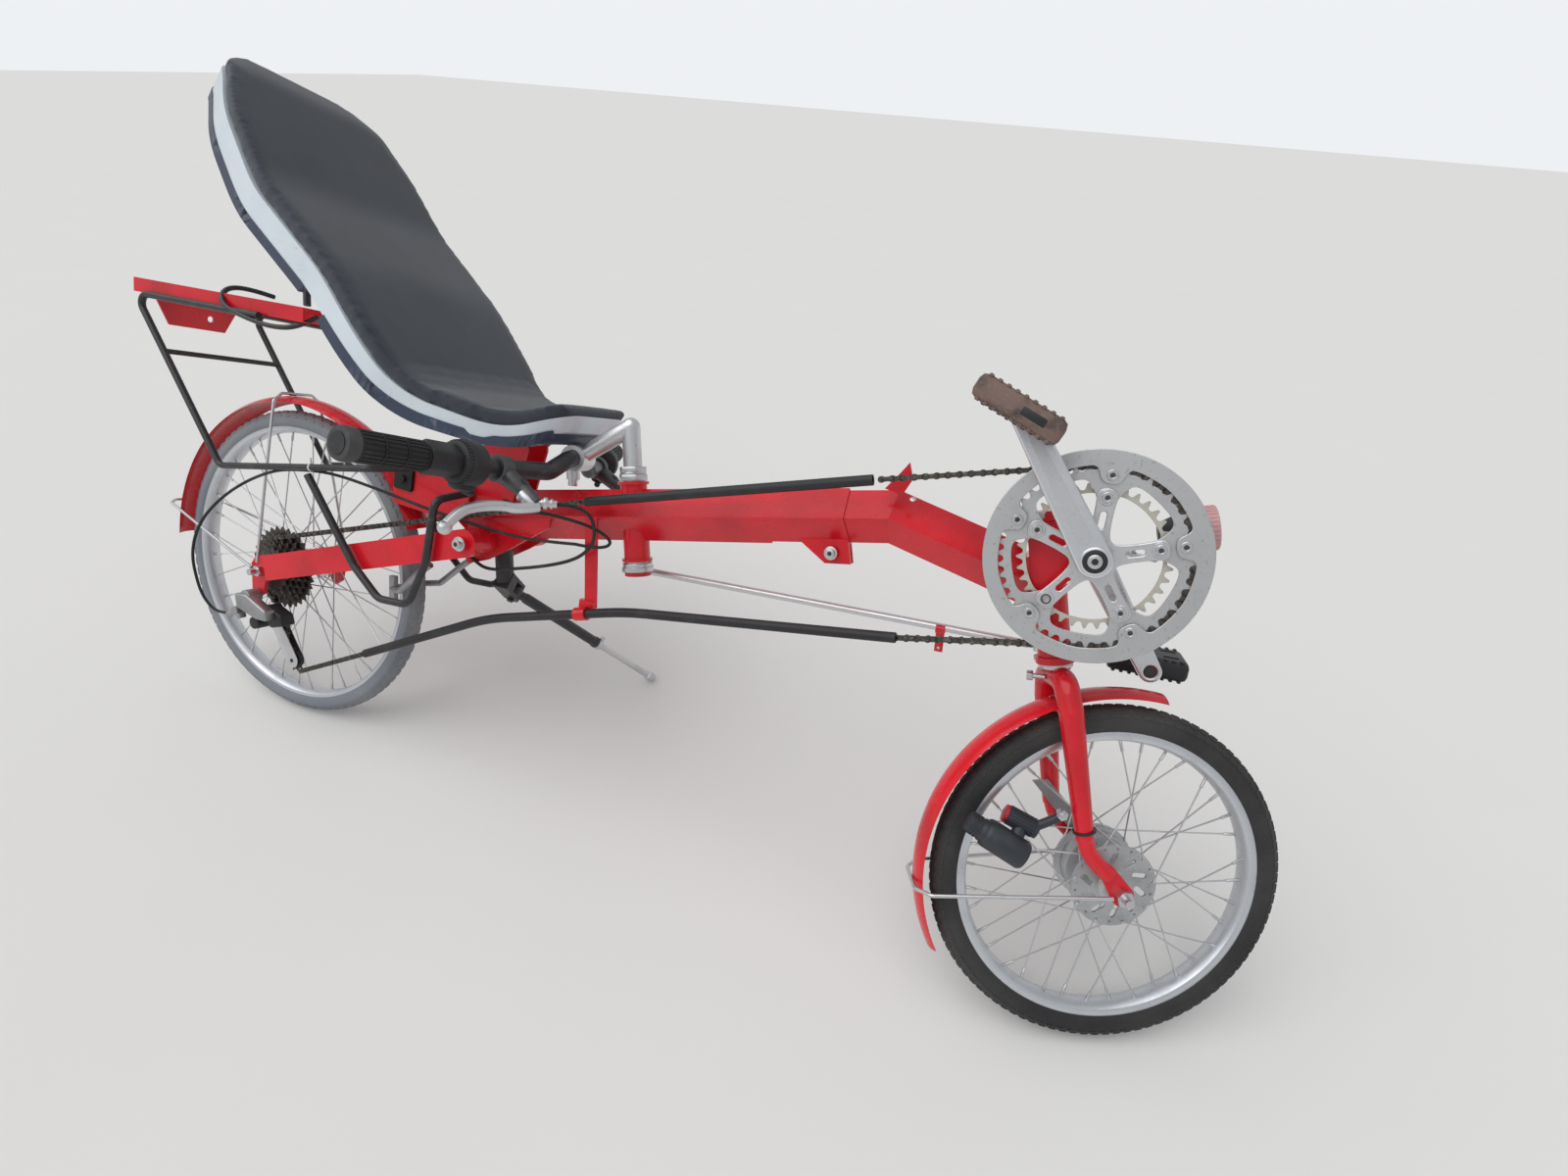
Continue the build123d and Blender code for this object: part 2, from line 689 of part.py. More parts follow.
tube_bore = 5.4


def tangent(first, second):
    """Line that leaves one circle of the route and meets the next."""
    dx, dz = second.x - first.x, second.z - first.z
    reach = hypot(dx, dz)
    heading = atan2(dz, dx) + asin((first.sense * first.radius - second.sense * second.radius) / reach)
    right = (sin(heading), -cos(heading))
    return [
        (spot.x + spot.sense * spot.radius * right[0], spot.z + spot.sense * spot.radius * right[1])
        for spot in (first, second)
    ]


def straight_steps(start, end, gap):
    """Pins along a line, one pitch apart, the first one gap after its start."""
    run = hypot(end[0] - start[0], end[1] - start[1])
    ahead = ((end[0] - start[0]) / run, (end[1] - start[1]) / run)
    count = int((run - gap) / chain_pitch + 1e-6) + 1
    pins = [(start[0] + ahead[0] * (gap + k * chain_pitch), start[1] + ahead[1] * (gap + k * chain_pitch))
            for k in range(count)]
    return pins, run - gap - (count - 1) * chain_pitch


def arc_steps(spot, start, end, gap):
    """Pins round one circle of the route, one pitch apart."""
    begin = atan2(start[1] - spot.z, start[0] - spot.x)
    turn = (atan2(end[1] - spot.z, end[0] - spot.x) - begin) * spot.sense % (2 * pi)
    run = turn * spot.radius
    count = int((run - gap) / chain_pitch + 1e-6) + 1 if run > gap else 0
    pins = []
    for k in range(count):
        angle = begin + spot.sense * (gap + k * chain_pitch) / spot.radius
        pins.append((spot.x + spot.radius * cos(angle), spot.z + spot.radius * sin(angle)))
    left = run - gap - (count - 1) * chain_pitch if count else run - gap
    return pins, left


def run_pins(route, teeth, wheel_index):
    """Pins of one visible run: those on the toothed wheel first, then both ways out."""
    wheel = route[wheel_index]
    step = 2 * pi / teeth
    _, arrive = tangent(route[wheel_index - 1], wheel)
    leave, _ = tangent(wheel, route[wheel_index + 1])
    begin = atan2(arrive[1] - wheel.z, arrive[0] - wheel.x)
    turn = (atan2(leave[1] - wheel.z, leave[0] - wheel.x) - begin) % (2 * pi)
    first = int(begin / step + (1 if begin > 0 else 0))
    count = int((begin + turn - first * step) / step) + 1
    angles = [(first + k) * step for k in range(count)]
    on_wheel = [(wheel.x + wheel.radius * cos(a), wheel.z + wheel.radius * sin(a)) for a in angles]
    after, gap = [], chain_pitch - (begin + turn - angles[-1]) * wheel.radius
    for index in range(wheel_index, len(route) - 1):
        start, end = tangent(route[index], route[index + 1])
        pins, left = straight_steps(start, end, gap)
        after += pins
        gap = chain_pitch - left
        if index + 2 < len(route):
            spot = route[index + 1]
            leave_next, _ = tangent(spot, route[index + 2])
            pins, left = arc_steps(spot, end, leave_next, gap)
            after += pins
            gap = chain_pitch - left if pins else -left
    start, end = tangent(route[wheel_index - 1], wheel)
    before, _ = straight_steps(end, start, chain_pitch - (angles[0] - begin) * wheel.radius)
    return list(reversed(before)), on_wheel, after


link_height = 8.0
outer_link = 7.0
inner_link = 4.8
link_gap = 0.5
mesh_height = 5.0
tooth_room = 10.0


def link_place(first, second):
    """Middle of a link and its slope."""
    slope = degrees(atan2(second[1] - first[1], second[0] - first[0]))
    return Location(((first[0] + second[0]) / 2, chain_y, (first[1] + second[1]) / 2), (0, -slope, 0))


with BuildPart() as chain:
    wide, narrow, outer_pairs, inner_pairs = [], [], [], []
    for route, teeth in ((front_route, ring_teeth), (rear_route, drive_sprocket_teeth)):
        before, on_wheel, after = run_pins(route, teeth, 1)
        pins = before + on_wheel + after
        for k in range(len(pins) - 1):
            place = link_place(pins[k], pins[k + 1])
            meshed = len(before) - 3 <= k < len(before) + len(on_wheel) + 2
            if meshed:
                (outer_pairs if k % 2 else inner_pairs).append(place)
            else:
                (wide if k % 2 else narrow).append(place)
    with Locations(*wide):
        Box(chain_pitch - link_gap, outer_link, link_height)
    with Locations(*narrow):
        Box(chain_pitch - link_gap, inner_link, link_height - 1)
    for places, width in ((outer_pairs, outer_link), (inner_pairs, inner_link)):
        with Locations(*places):
            Box(chain_pitch - link_gap, width, mesh_height)
    with Locations(*outer_pairs, *inner_pairs):
        Box(tooth_room, ring_thick + 1.2, mesh_height, mode=Mode.SUBTRACT)
chain.part.label = "chain"

# Plastic tubes that the chain slides through
with BuildPart() as chain_tubes:
    bar([(x, chain_y, z) for x, z in upper_tube], tube_radius, bore=tube_bore)
    bar([(x, chain_y, z) for x, z in lower_tube], tube_radius, bends=[400, 500], bore=tube_bore)
chain_tubes.part.label = "chain_tubes"

# Flat strap that hangs from the beam and holds the lower tube in its curl
with BuildPart() as chain_strap:
    plate([(550, 473), (569, 477), (588, 352), (570, 346)], -32, 3)
    curl = (574, chain_y, 342)
    with BuildSketch(Plane(origin=curl, x_dir=level, z_dir=toward(18.6))):
        Circle(tube_radius + 3)
    extrude(amount=9, both=True)
    plate([(564, 360), (587, 360), (587, 342), (564, 342)], -36, 8)
    diamond(beam_side, beam_rear_x, beam_length, mode=Mode.SUBTRACT)
    with BuildSketch(Plane(origin=curl, x_dir=level, z_dir=toward(18.6))):
        Circle(tube_radius + 0.1)
    extrude(amount=30, both=True, mode=Mode.SUBTRACT)
chain_strap.part.label = "chain_strap"

# Rear gear changer: a knuckle under the dropout, a slanted body and a caged pair of wheels
with BuildPart() as rear_derailleur:
    knuckle_y = -92
    pin(-4, rear_radius - 40, 9, -dropout_inner - dropout_thick, knuckle_y)
    body_offsets = [(-18, -34), (6, -40), (30, -78), (22, -94), (-2, -86), (-20, -58)]
    plate([(x, rear_radius + z) for x, z in body_offsets], knuckle_y + 8, 14, corner=4)
    for y in (chain_y - 5.5, chain_y + 5.5):
        with BuildSketch(side_plane(y)):
            with Locations(guide_wheel):
                Circle(11)
            with Locations(tension_wheel):
                Circle(13)
            make_hull()
        extrude(amount=0.8, both=True)
    for spot in (guide_wheel, tension_wheel):
        pin(*spot, jockey_radius - 2, chain_y - 1.2, chain_y + 1.2)
        pin(*spot, 4, chain_y - 6, chain_y + 6)
    pin(12, rear_radius - 82, 9, knuckle_y + 1, chain_y - 6)
rear_derailleur.part.label = "rear_derailleur"


def mudguard_band(centre, radius, width, start, sweep_angle, wall=2.0, drop=10.0):
    """Bowed band round a wheel from a start angle back toward straight ahead."""
    half = width / 2
    with BuildSketch(radial_plane(centre, start)) as section:
        with BuildLine():
            ThreePointArc((-half, radius - drop), (0, radius), (half, radius - drop))
            Line((half, radius - drop), (half - wall, radius - drop))
            ThreePointArc((half - wall, radius - drop), (0, radius - wall), (wall - half, radius - drop))
            Line((wall - half, radius - drop), (-half, radius - drop))
        make_face()
    revolve(section.sketch, wheel_axis(centre), revolution_arc=sweep_angle)


rear_guard_radius = rear_radius + rear_guard_gap
rear_guard_start = 182.0
rear_guard_end = 27.0
with BuildPart() as rear_mudguard:
    mudguard_band(rear_axle, rear_guard_radius, 50, rear_guard_start, rear_guard_start - rear_guard_end)
rear_mudguard.part.label = "rear_mudguard"

# Wire stays of the rear mudguard: each goes from one axle end over the band and down
with BuildPart() as rear_stays:
    for reach, tilt in ((rear_guard_radius + 3, 97), (rear_guard_radius + 3, 170)):
        out = toward(tilt)
        over = rear_axle + out * reach
        foot = rear_axle + out * 14
        corner_drop = out * -12
        points = [
            foot + Vector(0, -80, 0), over + Vector(0, -40, 0) + corner_drop, over + Vector(0, -26, 0),
            over + Vector(0, 26, 0), over + Vector(0, 40, 0) + corner_drop, foot + Vector(0, 80, 0),
        ]
        bar(points, 2.2, bends=8)
rear_stays.part.label = "rear_stays"

# Rear rim brake: a yoke across the wheel with its two pads
with BuildPart() as rear_brake:
    brake_angle = 6
    spot = rear_axle + toward(brake_angle) * (rear_bead - 1.5)
    for side in (-1, 1):
        start = spot + Vector(0, side * (rim_width / 2 + 1.5), 0)
        stub(start, start + Vector(0, side * 8, 0), 6)
        with Locations(Location(start + Vector(0, side * 12, 0), (0, -90 - brake_angle, 0))):
            Box(42, 8, 10)
        bar([start + Vector(0, side * 14, 0), start + Vector(26, side * 26, 6), start + Vector(66, side * 30, 48),
             start + Vector(84, side * 30, 64)], 5, bends=6)
rear_brake.part.label = "rear_brake"

# Carrier: two channel rails with lugs, black stays and a cross tube
rail_y = 80.0
rail_width = 14.0
rail_depth = 21.0
rail_wall = 2.0
rail_start = (-280.0, 650.0)
rail_end = (80.0, 658.0)
stay_radius = 5.0
stay_y = rail_y + rail_width / 2 + stay_radius
lamp_plate_x = -268.0
lamp_plate_thick = 3.0
lamp_plate = [(-68, 644), (-44, 597), (44, 597), (68, 644)]
lamp_hole = (20.0, 616.0)
lamp_hole_radius = 5.0
with BuildPart() as rack_rails:
    slope = degrees(atan2(rail_end[1] - rail_start[1], rail_end[0] - rail_start[0]))
    length = hypot(rail_end[1] - rail_start[1], rail_end[0] - rail_start[0])
    for side in (-1, 1):
        start = Vector(rail_start[0], side * rail_y, rail_start[1])
        with BuildSketch(Plane(origin=start, x_dir=level, z_dir=toward(slope))):
            Rectangle(rail_width, rail_depth)
            with Locations((-side * rail_wall, 0)):
                Rectangle(rail_width, rail_depth - 2 * rail_wall, mode=Mode.SUBTRACT)
        extrude(amount=length)
    for x in (-270, -150, -30, 70):
        z = rail_start[1] + (x - rail_start[0]) * tan(radians(slope)) + rail_depth / 2 - 1
        with Locations((x, 0, z)):
            Box(18, 2 * rail_y - rail_width + 4, 2)
    # Plate across the rear end, with one hole for a lamp
    with BuildSketch(Plane.YZ.offset(lamp_plate_x)):
        Polygon(*lamp_plate, align=None)
        with Locations((0, rail_start[1] - 3)):
            Rectangle(2 * rail_y - rail_width + 4, 12)
        with Locations(lamp_hole):
            Circle(lamp_hole_radius, mode=Mode.SUBTRACT)
    extrude(amount=lamp_plate_thick / 2, both=True)
rack_rails.part.label = "rack_rails"

with BuildPart() as rack_frame:
    for side in (-1, 1):
        y = side * stay_y
        bar([(0, y, 644), (-268, y, 638), (-72, y, 408), (222, y, 468), (262, side * 36, 477)], stay_radius,
            bends=[14, 14, 14])
    bar([(-200, -stay_y, 560), (-200, stay_y, 560)], 4)
rack_frame.part.label = "rack_frame"

# Side hoops below the carrier stays
with BuildPart() as side_hoops:
    for side in (-1, 1):
        y = side * stay_y
        bar([(111, y, 434), (211, y, 321), (262, y, 284), (318, y, 290), (342, y, 360), (348, y, 452),
             (356, side * 34, 462)], 5.5, bends=[30, 24, 24, 40, 16])
side_hoops.part.label = "side_hoops"

# Seat: a side profile cut to its outline across
SeatStation = namedtuple("SeatStation", "x z bend rim edging")
seat_stations = [
    SeatStation(-84, 972, 0, 32, 13),
    SeatStation(-40, 945, 60, 32, 13),
    SeatStation(70, 808, 200, 32, 13),
    SeatStation(195, 718, 250, 30, 13),
    SeatStation(318, 590, 130, 24, 11),
    SeatStation(450, 570, 130, 18, 9),
    SeatStation(530, 606, 0, 16, 9),
]
seat_line = [(station.x, station.z) for station in seat_stations]
seat_bends = [station.bend for station in seat_stations[1:-1]]
rim_depths = [station.rim for station in seat_stations]
edge_depths = [station.rim + station.edging for station in seat_stations]
seat_top, seat_nose = (Vector(x, 0, z) for x, z in (seat_line[0], seat_line[-1]))
seat_chord = seat_nose - seat_top


def seat_outline(inset=0):
    """Outline of the seat on the plane of its chord: rounded top, waist and blunt nose."""
    run = seat_chord.length
    plane = Plane(origin=seat_top, x_dir=seat_chord, z_dir=(-seat_chord.Z, 0, seat_chord.X))
    half = seat_half - inset
    with BuildSketch(plane) as outline:
        with BuildLine():
            side = [(inset, 0), (inset, 100 - inset), (110, half - 12), (230, half), (480, half),
                    (620, half - 42), (run - inset, 78 - inset), (run - inset, 0)]
            FilletPolyline(*side, radius=[70, 200, 300, 300, 200, 50])
            Line((run - inset, 0), (inset, 0))
        make_face()
        mirror(about=Plane.XZ)
    return outline.sketch


def even(depth):
    """The same depth at every station."""
    return [depth] * len(seat_stations)


def joint_curve(depths):
    """Joint line of the seat moved down by a depth at each station."""
    corners = []
    for k, (x, z) in enumerate(seat_line):
        before = seat_line[max(k - 1, 0)]
        after = seat_line[min(k + 1, len(seat_line) - 1)]
        first = atan2(z - before[1], x - before[0]) if k else None
        second = atan2(after[1] - z, after[0] - x) if k < len(seat_line) - 1 else None
        first = second if first is None else first
        second = first if second is None else second
        middle = (first + second) / 2
        reach = depths[k] / cos((second - first) / 2)
        corners.append((x + sin(middle) * reach, z - cos(middle) * reach))
    return corners


def depth_bends(depths):
    """Bend radii of the joint line moved down: hollow bends shrink and full ones grow."""
    radii = []
    for k in range(1, len(seat_line) - 1):
        (ax, az), (bx, bz), (cx, cz) = seat_line[k - 1:k + 2]
        left_turn = (bx - ax) * (cz - bz) - (bz - az) * (cx - bx) > 0
        radii.append(seat_bends[k - 1] + depths[k] if left_turn else max(seat_bends[k - 1] - depths[k], 10))
    return radii


def seat_layer(top, bottom):
    """Slab of the seat between two depths, across its whole width."""
    with BuildSketch(side_plane(0)) as layer:
        with BuildLine() as edge:
            upper = FilletPolyline(*joint_curve(top), radius=depth_bends(top))
            lower = FilletPolyline(*joint_curve(bottom), radius=depth_bends(bottom))
            Line(upper @ 0, lower @ 0)
            Line(upper @ 1, lower @ 1)
        make_face()
    extrude(layer.sketch, amount=seat_half + 20, both=True)


with BuildPart() as seat_pad:
    seat_layer(even(-pad_thick), even(0))
    extrude(seat_outline(1), amount=300, both=True, mode=Mode.INTERSECT)
seat_pad.part.label = "seat_pad"

with BuildPart() as seat_shell:
    seat_layer(even(0), rim_depths)
    extrude(seat_outline(), amount=300, both=True, mode=Mode.INTERSECT)
    with BuildPart(mode=Mode.PRIVATE) as hollow:
        seat_layer(even(shell_wall), [depth + 10 for depth in rim_depths])
        extrude(seat_outline(shell_wall), amount=300, both=True, mode=Mode.INTERSECT)
    add(hollow.part, mode=Mode.SUBTRACT)
seat_shell.part.label = "seat_shell"

with BuildPart() as seat_edging:
    seat_layer(rim_depths, edge_depths)
    extrude(seat_outline(-1), amount=300, both=True, mode=Mode.INTERSECT)
    with BuildPart(mode=Mode.PRIVATE) as inside:
        seat_layer([depth - 10 for depth in rim_depths], [depth + 10 for depth in edge_depths])
        extrude(seat_outline(edging_width), amount=300, both=True, mode=Mode.INTERSECT)
    add(inside.part, mode=Mode.SUBTRACT)
    with Locations(Location((176, -seat_half, 668), (0, 50, 0))):
        Box(46, 60, 60, mode=Mode.SUBTRACT)
    with Locations((560, 0, 590)):
        Box(110, 2 * seat_half, 100, mode=Mode.SUBTRACT)
seat_edging.part.label = "seat_edging"

# Seat bracket: two cheeks on the beam under the seat pan
seat_cheek = [(345, 440), (352, 520), (380, 562), (432, 560), (436, 540), (420, 450)]
with BuildPart() as seat_bracket:
    for y in (-22, 22):
        plate(seat_cheek, y, 4)
    diamond(beam_side, beam_rear_x, beam_length, mode=Mode.SUBTRACT)
    with BuildPart(mode=Mode.PRIVATE) as pan:
        seat_layer(even(-60), even(shell_wall))
    add(pan.part, mode=Mode.SUBTRACT)
    pin(428, 550, 5, -30, 30)
seat_bracket.part.label = "seat_bracket"

# Seat stays: black tubes from the back of the shell down to the carrier
with BuildPart() as seat_stays:
    for side in (-1, 1):
        bar([(30, side * 60, 822), (44, side * 60, 760), (66, side * 70, 672)], 5, bends=30)
    with BuildPart(mode=Mode.PRIVATE) as back:
        seat_layer(even(-60), even(shell_wall))
    add(back.part, mode=Mode.SUBTRACT)
seat_stays.part.label = "seat_stays"

# Head lamp on its strip ahead of the crank bracket
lamp_tilt = 21.0
lamp_back = bracket + Vector(59, 0, 37)
lamp_dir = toward(lamp_tilt)
with BuildPart() as head_lamp:
    stub(lamp_back, lamp_back + lamp_dir * 14, 12, 18)
    stub(lamp_back + lamp_dir * 14, lamp_back + lamp_dir * 46, 18, 23)
    stub(lamp_back + lamp_dir * 46, lamp_back + lamp_dir * 58, 23, 23)
head_lamp.part.label = "head_lamp"

with BuildPart() as lamp_bracket:
    strip = [(13, 7), (65, 7), (81, 27), (75, 31), (61, 11), (13, 11)]
    plate([(bracket_x + x, bracket_z + z) for x, z in strip], 0, 22)
    pin(bracket_x, bracket_z, bracket_radius, -40, 40, mode=Mode.SUBTRACT)
    stub(lamp_back, lamp_back + lamp_dir * 60, 24, mode=Mode.SUBTRACT)
lamp_bracket.part.label = "lamp_bracket"

# Fork: a steerer, an arched crown and two tapered legs, in the steering axis's frame
crown_gap = 25.0
crown_height = head_bottom - crown_gap
leg_top_y = 38.0
leg_low_y = 53.0
leg_low_z = 76.0
leg_radius = 14.0
leg_end_radius = 9.5
fork_end_thick = 5.0
link_reach = 48.0


def on_fork(x, y, z):
    """Point given in the steering axis's frame."""
    return fork_axis.from_local_coords(Vector(x, y, z))


with BuildPart() as fork:
    stub(on_fork(0, 0, crown_height - 6), on_fork(0, 0, head_top + cup_height + 2), steerer_radius)
    stub(on_fork(0, 0, crown_height + 8), on_fork(0, 0, head_bottom - cup_height - turning_gap), 17)
    stub(on_fork(0, 0, head_top + cup_height + turning_gap), on_fork(0, 0, head_top + cup_height + 12), 17)
    shoulder = crown_height - 34
    arch = [(0, -leg_top_y - 2, shoulder), (0, -leg_top_y + 8, crown_height),
            (0, leg_top_y - 8, crown_height), (0, leg_top_y + 2, shoulder)]
    bar([on_fork(*point) for point in arch], leg_radius, bends=18)
    for side in (-1, 1):
        top = on_fork(0, side * (leg_top_y + 2), shoulder)
        low = on_fork(0, side * leg_low_y, leg_low_z)
        stub(top, low, leg_radius, leg_end_radius + 1)
        with Locations(Location(top)):
            Sphere(leg_radius)
        bend = [(0, side * leg_low_y, leg_low_z), (3, side * leg_low_y, 54), (fork_rake - 14, side * leg_low_y, 26)]
        bar([on_fork(*point) for point in bend], leg_end_radius, bends=50)
        with Locations(Location(low)):
            Sphere(leg_end_radius + 1)
        end_y = side * (50 + fork_end_thick / 2)
        heel = on_fork(fork_rake - 16, 0, 32)
        with BuildSketch(side_plane(end_y)):
            with Locations((front_axle.X, front_axle.Z)):
                Circle(13)
            with Locations((heel.X, heel.Z)):
                Circle(9)
            make_hull()
        extrude(amount=fork_end_thick / 2, both=True)
        pin(front_axle.X, front_axle.Z, axle_radius, side * 40, side * 80, mode=Mode.SUBTRACT)
        with Locations(Plane(origin=(front_axle.X, side * 50, front_axle.Z), z_dir=(0, -side, 0))):
            Cylinder(14, 14, align=(Align.CENTER, Align.CENTER, Align.MIN), mode=Mode.SUBTRACT)
    # Arm on the left of the crown that the steering rod pulls
    with BuildSketch(fork_axis.offset(crown_height + 9)):
        with Locations((0, link_reach)):
            Circle(9)
        Circle(15)
        make_hull()
    extrude(amount=5)
    with BuildSketch(fork_axis.offset(crown_height + 9)):
        with Locations((0, link_reach)):
            Circle(4)
    extrude(amount=21)
fork.part.label = "fork"

with BuildPart() as front_axle_bolt:
    pin(front_axle.X, front_axle.Z, axle_radius, -74, 70)
    for side in (-1, 1):
        pin(front_axle.X, front_axle.Z, 8, side * 45, side * 50)
        with BuildSketch(side_plane(side * (50 + fork_end_thick))):
            with Locations((front_axle.X, front_axle.Z)):
                RegularPolygon(10, 6)
        extrude(amount=-side * 9)
front_axle_bolt.part.label = "front_axle"

# Front brake plate beside the drum with its lever
with BuildPart() as front_brake:
    pin(front_axle.X, front_axle.Z, drum_radius - 4, 35, 38.5)
    pin(front_axle.X, front_axle.Z, 14, 38.5, 45)
    pin(front_axle.X, front_axle.Z, 8.1, 30, 60, mode=Mode.SUBTRACT)
    arm_top = on_fork(-24, 0, 112)
    plate([(front_axle.X - 26, 236), (front_axle.X - 8, 246), (arm_top.X + 16, arm_top.Z + 4),
           (arm_top.X - 2, arm_top.Z - 2)], 36.9, 3)
front_brake.part.label = "front_brake"

front_guard_radius = front_radius + front_guard_gap
front_guard_start = 216.0
front_guard_end = 88.0
with BuildPart() as front_mudguard:
    mudguard_band(front_axle, front_guard_radius, 46, front_guard_start, front_guard_start - front_guard_end, drop=8)
    with Locations(fork_axis.offset(front_guard_radius)):
        Cylinder(10, 90, mode=Mode.SUBTRACT)
front_mudguard.part.label = "front_mudguard"

with BuildPart() as front_stay:
    stay_side = 60
    reach = front_guard_radius + 2.5
    out = toward(194)
    over = front_axle + out * reach
    foot = front_axle + out * 13
    points = [foot + Vector(0, -stay_side, 0), over + Vector(0, -44, 0) - out * 16, over + Vector(0, -26, 0),
              over + Vector(0, 26, 0), over + Vector(0, 44, 0) - out * 16, foot + Vector(0, stay_side, 0)]
    bar(points, 2.4, bends=8)
front_stay.part.label = "front_stay"

# Bottle dynamo on the rear of the right fork leg
with BuildPart() as dynamo:
    cap, tail = Vector(1116, -46, 258), Vector(1186, -56, 234)
    along_body = (tail - cap).normalized()
    stub(cap, cap + along_body * 20, 12)
    stub(cap + along_body * 20, tail, 17)
    stub((1160, -36, 272), (1200, -44, 262), 11)
    stub((1180, -40, 266), (1172, -54, 240), 8)
    bar([(1196, -44, 266), (1210, -50, 282), (1222, -52, 292)], 5, bends=8)
dynamo.part.label = "dynamo"

# Bar, stem and controls, straight ahead
def on_bar(x, y, z):
    """Point given in the middle steering axis's frame."""
    return bar_axis.from_local_coords(Vector(x, y, z))


stem_radius = 12.7
clamp = Vector(512, 0, 546)
quill_top = bar_axis.from_local_coords(Vector(0, 0, 119))
bar_radius = 11.5
with BuildPart() as stem:
    stub(on_bar(0, 0, mid_head_low - 20), on_bar(0, 0, mid_head_high + 4 + 14), steerer_radius)
    stub(on_bar(0, 0, mid_head_high + 4 + turning_gap), on_bar(0, 0, mid_head_high + 20), 17)
    stub(on_bar(0, 0, mid_head_high + 10), quill_top, stem_radius)
    with Locations(Location(quill_top)):
        Sphere(stem_radius)
    stub(quill_top, clamp, stem_radius, 11.5)
    pin(clamp.X, clamp.Z, bar_radius + 6, -19, 19)
    stub(clamp + Vector(-6, 0, -10), clamp + Vector(-2, 0, -30), 9)
    pin(clamp.X, clamp.Z, bar_radius, -40, 40, mode=Mode.SUBTRACT)
    stub(on_bar(0, 0, mid_head_low - 4 - turning_gap), on_bar(0, 0, mid_head_low - 24), 17)
stem.part.label = "stem"

bar_run = [(512, 0, 546), (512, 28, 545), (503, 62, 526), (478, 150, 526), (424, 342, 540)]
with BuildPart() as handlebar:
    mirrored = [(x, -y, z) for x, y, z in reversed(bar_run[1:])]
    bar(mirrored + bar_run[1:], bar_radius, bends=[60, 24, 24, 24, 24, 60])
handlebar.part.label = "handlebar"


def along_bar(y):
    """Point of the bar's outer straight at a distance from the centre."""
    (x0, y0, z0), (x1, y1, z1) = bar_run[-2:]
    share = (abs(y) - y0) / (y1 - y0)
    return Vector(x0 + (x1 - x0) * share, y, z0 + (z1 - z0) * share)


def bar_sleeve(y_from, y_to, radius):
    """Sleeve that fits round the outer straight of the bar."""
    stub(along_bar(y_from), along_bar(y_to), radius)
    stub(along_bar(y_from * 0.9), along_bar(y_to * 1.1), bar_radius, mode=Mode.SUBTRACT)


with BuildPart() as grips:
    for side in (-1, 1):
        bar_sleeve(side * 250, side * 344, 17)
grips.part.label = "grips"

with BuildPart() as shifters:
    for side in (-1, 1):
        start, end = along_bar(side * 208), along_bar(side * 250)
        with BuildSketch(Plane(origin=start, z_dir=end - start)):
            RegularPolygon(20, 6)
            Circle(bar_radius, mode=Mode.SUBTRACT)
        extrude(amount=(end - start).length)
        start, end = along_bar(side * 176), along_bar(side * 208)
        with BuildSketch(Plane(origin=start, z_dir=end - start)):
            Circle(27)
            Circle(bar_radius, mode=Mode.SUBTRACT)
        extrude(amount=(end - start).length)
shifters.part.label = "shifters"

with BuildPart() as brake_levers:
    for side in (-1, 1):
        start, end = along_bar(side * 132), along_bar(side * 152)
        stub(start, end, 16)
        knuckle = Vector(530, side * 146, 496)
        stub((start + end) * 0.5 + Vector(10, 0, -6), knuckle, 11, 9)
        stub(knuckle, knuckle + Vector(26, side * -12, 2), 7)
        bar([knuckle, (512, side * 176, 490), (490, side * 214, 484), (482, side * 240, 464)], 6, bends=14)
        with Locations((482, side * 240, 462)):
            Sphere(8)
        stub(along_bar(side * 120), along_bar(side * 170), bar_radius, mode=Mode.SUBTRACT)
brake_levers.part.label = "brake_levers"

# Arm under the middle head tube that pushes the steering rod, set as the fork is
link_height_mid = mid_head_low - 18
with BuildPart() as steering_arm:
    with BuildSketch(bar_axis.offset(link_height_mid)):
        with Locations((0, link_reach)):
            Circle(9)
        Circle(22)
        make_hull()
        Circle(17, mode=Mode.SUBTRACT)
    extrude(amount=6)
    with BuildSketch(bar_axis.offset(link_height_mid - 12)):
        with Locations((0, link_reach)):
            Circle(4)
    extrude(amount=14)
steering_arm.part.label = "steering_arm"

# Steering rod between the two arms, where they stand at the left stop
rod_rear = moved_point(link_rest, on_bar(0, link_reach, link_height_mid - 6))
rod_front = moved_point(fork_rest, on_fork(0, link_reach, crown_height + 25))
rod_run = (rod_front - rod_rear).normalized()
rod_radius = 5.0
with BuildPart() as steering_rod:
    stub(rod_rear + rod_run * 12, rod_front - rod_run * 14, rod_radius)
    for spot, up in ((rod_rear, bar_axis.z_dir), (rod_front, fork_axis.z_dir)):
        stub(spot - up * 5, spot + up * 5, 9)
        stub(spot - up * 20, spot + up * 20, 4.6, mode=Mode.SUBTRACT)
    inner_rear, inner_front = rod_rear + rod_run * 7, rod_front - rod_run * 7
    stub(inner_rear, inner_rear + rod_run * 8, 4)
    stub(inner_front, inner_front - rod_run * 8, 4)
steering_rod.part.label = "steering_rod"

# Park move: lean about the tyres' line, then a small pitch that lands the front tyre
rear_ring, front_ring = (wheel.radius - wheel.section for wheel in wheels)
rear_section, front_section = rear_wheel.section, front_wheel.section
lean_move = (
    Location((0, rear_ring * sin(radians(lean)), rear_ring * cos(radians(lean)) + rear_section))
    * Location((0, 0, 0), (-lean, 0, 0))
)


def park_move(pitch):
    return lean_move * Location((0, 0, 0), (0, pitch, 0)) * Location(-rear_axle)


